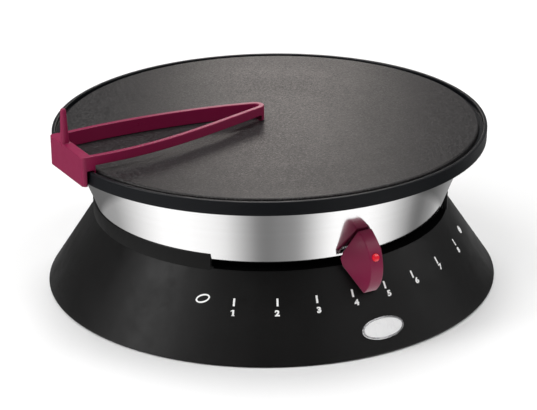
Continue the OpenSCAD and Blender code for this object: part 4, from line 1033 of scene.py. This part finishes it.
slotShadeFlock = {
    # Each strip's first and last azimuth, inner and outer radius, and the height that it lies at
    "strips": [(-58, 61, 123.0 * mm, 136.2 * mm, 59.52 * mm),
               (-47.3, 50.8, 136.35 * mm, 139.4 * mm, 60.02 * mm)],
    "thick": 0.22 * mm,
    "steps": 360,
}


def azimuthOf(spot):
    # From the front, positive to the right
    return math.degrees(math.atan2(spot.x, -spot.y))


def makeSlotShadeFlock(setup):
    made = []
    for first, last, inner, outer, height in setup["strips"]:
        made.append(flatRing(inner, outer, height, setup["thick"], setup["steps"],
                             lambda middle, normal: not first < azimuthOf(middle) < last))
    flock = joinAll(made)
    bpy.ops.object.shade_smooth_by_angle(angle=smoothAngle)
    finishPiece(flock, "slotShadeFlock", "root", shadeFlockBlack.material)


makeSlotShadeFlock(slotShadeFlock)
print("slot flocked")


# Floor, world and lamps

studio = {
    "floorHalf": 30.0,
    "floorCells": 8,
    "floorColour": 0.80,
    "floorFar": 0.93,
    "floorNearReach": 0.45,
    "floorFarReach": 1.8,
    "worldFill": 0.27,
    "worldGloss": 0.13,
    "white": 1.0,
    "sunDistance": 3,
    "boxAim": (0, 0, 0.12),    # The soft boxes stand round this point and face it
}
sunLamps = [
    # Name, azimuth from the camera and elevation it shines from, strength, width in degrees
    ("keyLamp", -56.0, 63.0, 0.76, 30.0),
    ("fillLamp", 66.0, 54.0, 0.76, 40.0),
    ("backLamp", 178.0, 69.0, 1.52, 30.0),
]
underSun = ("underLamp", 0.0, -88.0, 0.30, 60.0)    # Lights the underside
softBoxes = [
    # Name, azimuth from the camera, elevation, distance, width, height, watts, colour
    ("backBox", 179.0, 21.0, 0.85, 0.22, 0.17, 0.60, (1.0, 0.93, 0.88)),
    ("leftBox", -70.0, 27.0, 1.30, 0.50, 0.80, 8.0, (1.0, 1.0, 1.0)),
    ("rightBox", 94.0, 27.0, 1.30, 0.40, 0.60, 2.4, (1.0, 1.0, 1.0)),
]
floorFlags = {
    # How light the table looks to polished parts, by azimuth from the camera
    "innerRadius": 0.02,
    "outerRadius": 2.4,
    "steps": 128,
    "lift": 0.0006,
    "tone": 1.08,
    "farTone": 0.45,
    "fadeFrom": 0.152,
    "fadeTo": 0.166,
    "stops": [(-180, 0.4), (-88, 0.34), (-52, 1.0), (-38, 1.0), (-20, 0.75), (-8, 0.28), (3, 0.2),
              (15, 0.4), (28, 0.95), (50, 0.9), (72, 0.3), (88, 0.2), (125, 0.6), (180, 0.4)],
}


def makeFloor(setup):
    deselectAll()
    cells = setup["floorCells"]
    bpy.ops.mesh.primitive_grid_add(x_subdivisions=cells, y_subdivisions=cells, size=2 * setup["floorHalf"])
    floor = bpy.context.object
    floor.name = "studioFloor"
    paper = Finish("studioPaper", (setup["floorColour"],) * 3, 0.9)
    paper.set("Specular IOR Level", 0.0)
    # Far off, where only the suns reach it, the paper is lighter, so that it stays white to the edge
    away = addNode(paper.tree, "ShaderNodeVectorMath", (-650, -300), operation="LENGTH")
    join(paper.tree, paper.place, away.inputs[0])
    paper.tint(paper.stretch(away.outputs["Value"], setup["floorNearReach"], setup["floorFarReach"]),
               (setup["floorFar"],) * 3)
    # Seen from below, and to shadow rays, the floor isn't there, so that the underside shows and is lit
    tree = paper.tree
    side = addNode(tree, "ShaderNodeNewGeometry", (300, 400))
    path = addNode(tree, "ShaderNodeLightPath", (300, 650))
    clear = addNode(tree, "ShaderNodeBsdfTransparent", (600, 300))
    choose = addNode(tree, "ShaderNodeMixShader", (750, 150))
    gone = mathNode(tree, "MAXIMUM", side.outputs["Backfacing"], path.outputs["Is Shadow Ray"], (500, 500))
    join(tree, gone, choose.inputs["Fac"])
    join(tree, paper.shader.outputs[0], choose.inputs[1])
    join(tree, clear.outputs[0], choose.inputs[2])
    join(tree, choose.outputs[0], paper.out.inputs["Surface"])
    floor.data.materials.append(paper.material)


def glossOnly(obj):
    # A card that only shows in glossy parts
    obj.visible_camera = False
    obj.visible_diffuse = False
    obj.visible_transmission = False
    obj.visible_shadow = False


def makeFloorFlags(setup):
    # A ring on the table, light on both sides and dark between, that only glossy parts see
    deselectAll()
    bpy.ops.mesh.primitive_circle_add(vertices=setup["steps"], radius=setup["innerRadius"],
                                      location=(0, 0, setup["lift"]))
    ring = bpy.context.object
    ring.name = "floorFlags"
    grow = setup["outerRadius"] / setup["innerRadius"]
    bpy.ops.object.mode_set(mode="EDIT")
    bpy.ops.mesh.select_all(action="SELECT")
    bpy.ops.mesh.extrude_edges_move()
    bpy.ops.transform.resize(value=(grow, grow, 1))
    bpy.ops.object.mode_set(mode="OBJECT")
    card = bpy.data.materials.new("flagCard")
    card.use_nodes = True
    tree = card.node_tree
    tree.nodes.clear()
    out = addNode(tree, "ShaderNodeOutputMaterial", (900, 0))
    place = addNode(tree, "ShaderNodeTexCoord", (-900, 0))
    turn = addNode(tree, "ShaderNodeMapping", (-700, 0))
    turn.inputs["Rotation"].default_value = (0, 0, math.radians(-cameraSetup["azimuth"]))
    join(tree, place.outputs["Object"], turn.inputs["Vector"])
    split = addNode(tree, "ShaderNodeSeparateXYZ", (-500, 0))
    join(tree, turn.outputs[0], split.inputs[0])
    front = mathNode(tree, "MULTIPLY", split.outputs[1], -1.0, (-300, -100))
    angle = mathNode(tree, "ARCTAN2", split.outputs[0], front, (-150, 0))
    ramp = addNode(tree, "ShaderNodeValToRGB", (150, 0))
    ramp.color_ramp.interpolation = "CARDINAL"
    join(tree, stretchNode(tree, angle, -math.pi, math.pi, (0, 0)), ramp.inputs["Fac"])
    points = ramp.color_ramp.elements
    points.remove(points[1])
    for index, (azimuth, light) in enumerate(setup["stops"]):
        point = points[0] if index == 0 else points.new((azimuth + 180) / 360)
        point.position = (azimuth + 180) / 360
        point.color = (light, light, light, 1)
    shade = addNode(tree, "ShaderNodeEmission", (400, -150))
    # The bowl hangs close over the table and sees it light, what stands farther off sees it dim
    reach = addNode(tree, "ShaderNodeLightPath", (-300, -300)).outputs["Ray Length"]
    fade = stretchNode(tree, reach, setup["fadeFrom"], setup["fadeTo"], (-100, -300))
    fall = mathNode(tree, "MULTIPLY", fade, setup["tone"] * (setup["farTone"] - 1), (50, -300))
    join(tree, mathNode(tree, "ADD", fall, setup["tone"], (200, -300)), shade.inputs["Strength"])
    join(tree, ramp.outputs["Color"], shade.inputs["Color"])
    join(tree, shade.outputs[0], out.inputs["Surface"])
    ring.data.materials.append(card)
    glossOnly(ring)


def makeWorld(setup):
    world = bpy.data.worlds.new("studioWorld")
    scene.world = world
    world.use_nodes = True
    tree = world.node_tree
    tree.nodes.clear()
    out = addNode(tree, "ShaderNodeOutputWorld", (900, 0))
    show = addNode(tree, "ShaderNodeBackground", (300, 200))
    show.inputs["Color"].default_value = (1, 1, 1, 1)
    show.inputs["Strength"].default_value = setup["white"]
    fill = addNode(tree, "ShaderNodeBackground", (300, -100))
    fill.inputs["Color"].default_value = (1, 1, 1, 1)
    path = addNode(tree, "ShaderNodeLightPath", (-300, 300))
    seen = mathNode(tree, "MAXIMUM", path.outputs["Is Camera Ray"],
                    path.outputs["Is Transmission Ray"], (0, 300))
    dim = mathNode(tree, "MULTIPLY", path.outputs["Is Glossy Ray"],
                   setup["worldGloss"] - setup["worldFill"], (0, -100))
    join(tree, mathNode(tree, "ADD", dim, setup["worldFill"], (150, -100)), fill.inputs["Strength"])
    choose = addNode(tree, "ShaderNodeMixShader", (600, 0))
    join(tree, seen, choose.inputs["Fac"])
    join(tree, fill.outputs[0], choose.inputs[1])
    join(tree, show.outputs[0], choose.inputs[2])
    join(tree, choose.outputs[0], out.inputs["Surface"])


def towards(azimuth, elevation):
    # The way to a lamp, with its azimuth counted from the camera's
    a = math.radians(azimuth + cameraSetup["azimuth"])
    e = math.radians(elevation)
    return Vector((math.sin(a) * math.cos(e), -math.cos(a) * math.cos(e), math.sin(e)))


def addLamp(kind, name, location, toLamp, energy):
    deselectAll()
    bpy.ops.object.light_add(type=kind, location=location)
    lamp = bpy.context.object
    lamp.name = name
    lamp.data.energy = energy
    lamp.rotation_mode = "QUATERNION"
    lamp.rotation_quaternion = toLamp.to_track_quat("Z", "Y")
    return lamp


def makeSun(name, azimuth, elevation, strength, width):
    toLamp = towards(azimuth, elevation)
    lamp = addLamp("SUN", name, toLamp * studio["sunDistance"], toLamp, strength)
    lamp.data.angle = math.radians(width)
    return lamp


def makeSoftBox(name, azimuth, elevation, distance, width, height, watts, colour):
    toLamp = towards(azimuth, elevation)
    lamp = addLamp("AREA", name, toLamp * distance + Vector(studio["boxAim"]), toLamp, watts)
    lamp.data.shape = "RECTANGLE"
    lamp.data.size = width
    lamp.data.size_y = height
    lamp.data.color = colour


makeFloor(studio)
makeFloorFlags(floorFlags)
makeWorld(studio)
for sunSetup in sunLamps:
    makeSun(*sunSetup)
for boxSetup in softBoxes:
    makeSoftBox(*boxSetup)
makeSun(*underSun).visible_glossy = False
print("floor, world and lamps set")

scene.view_settings.view_transform = "Standard"
print("done")
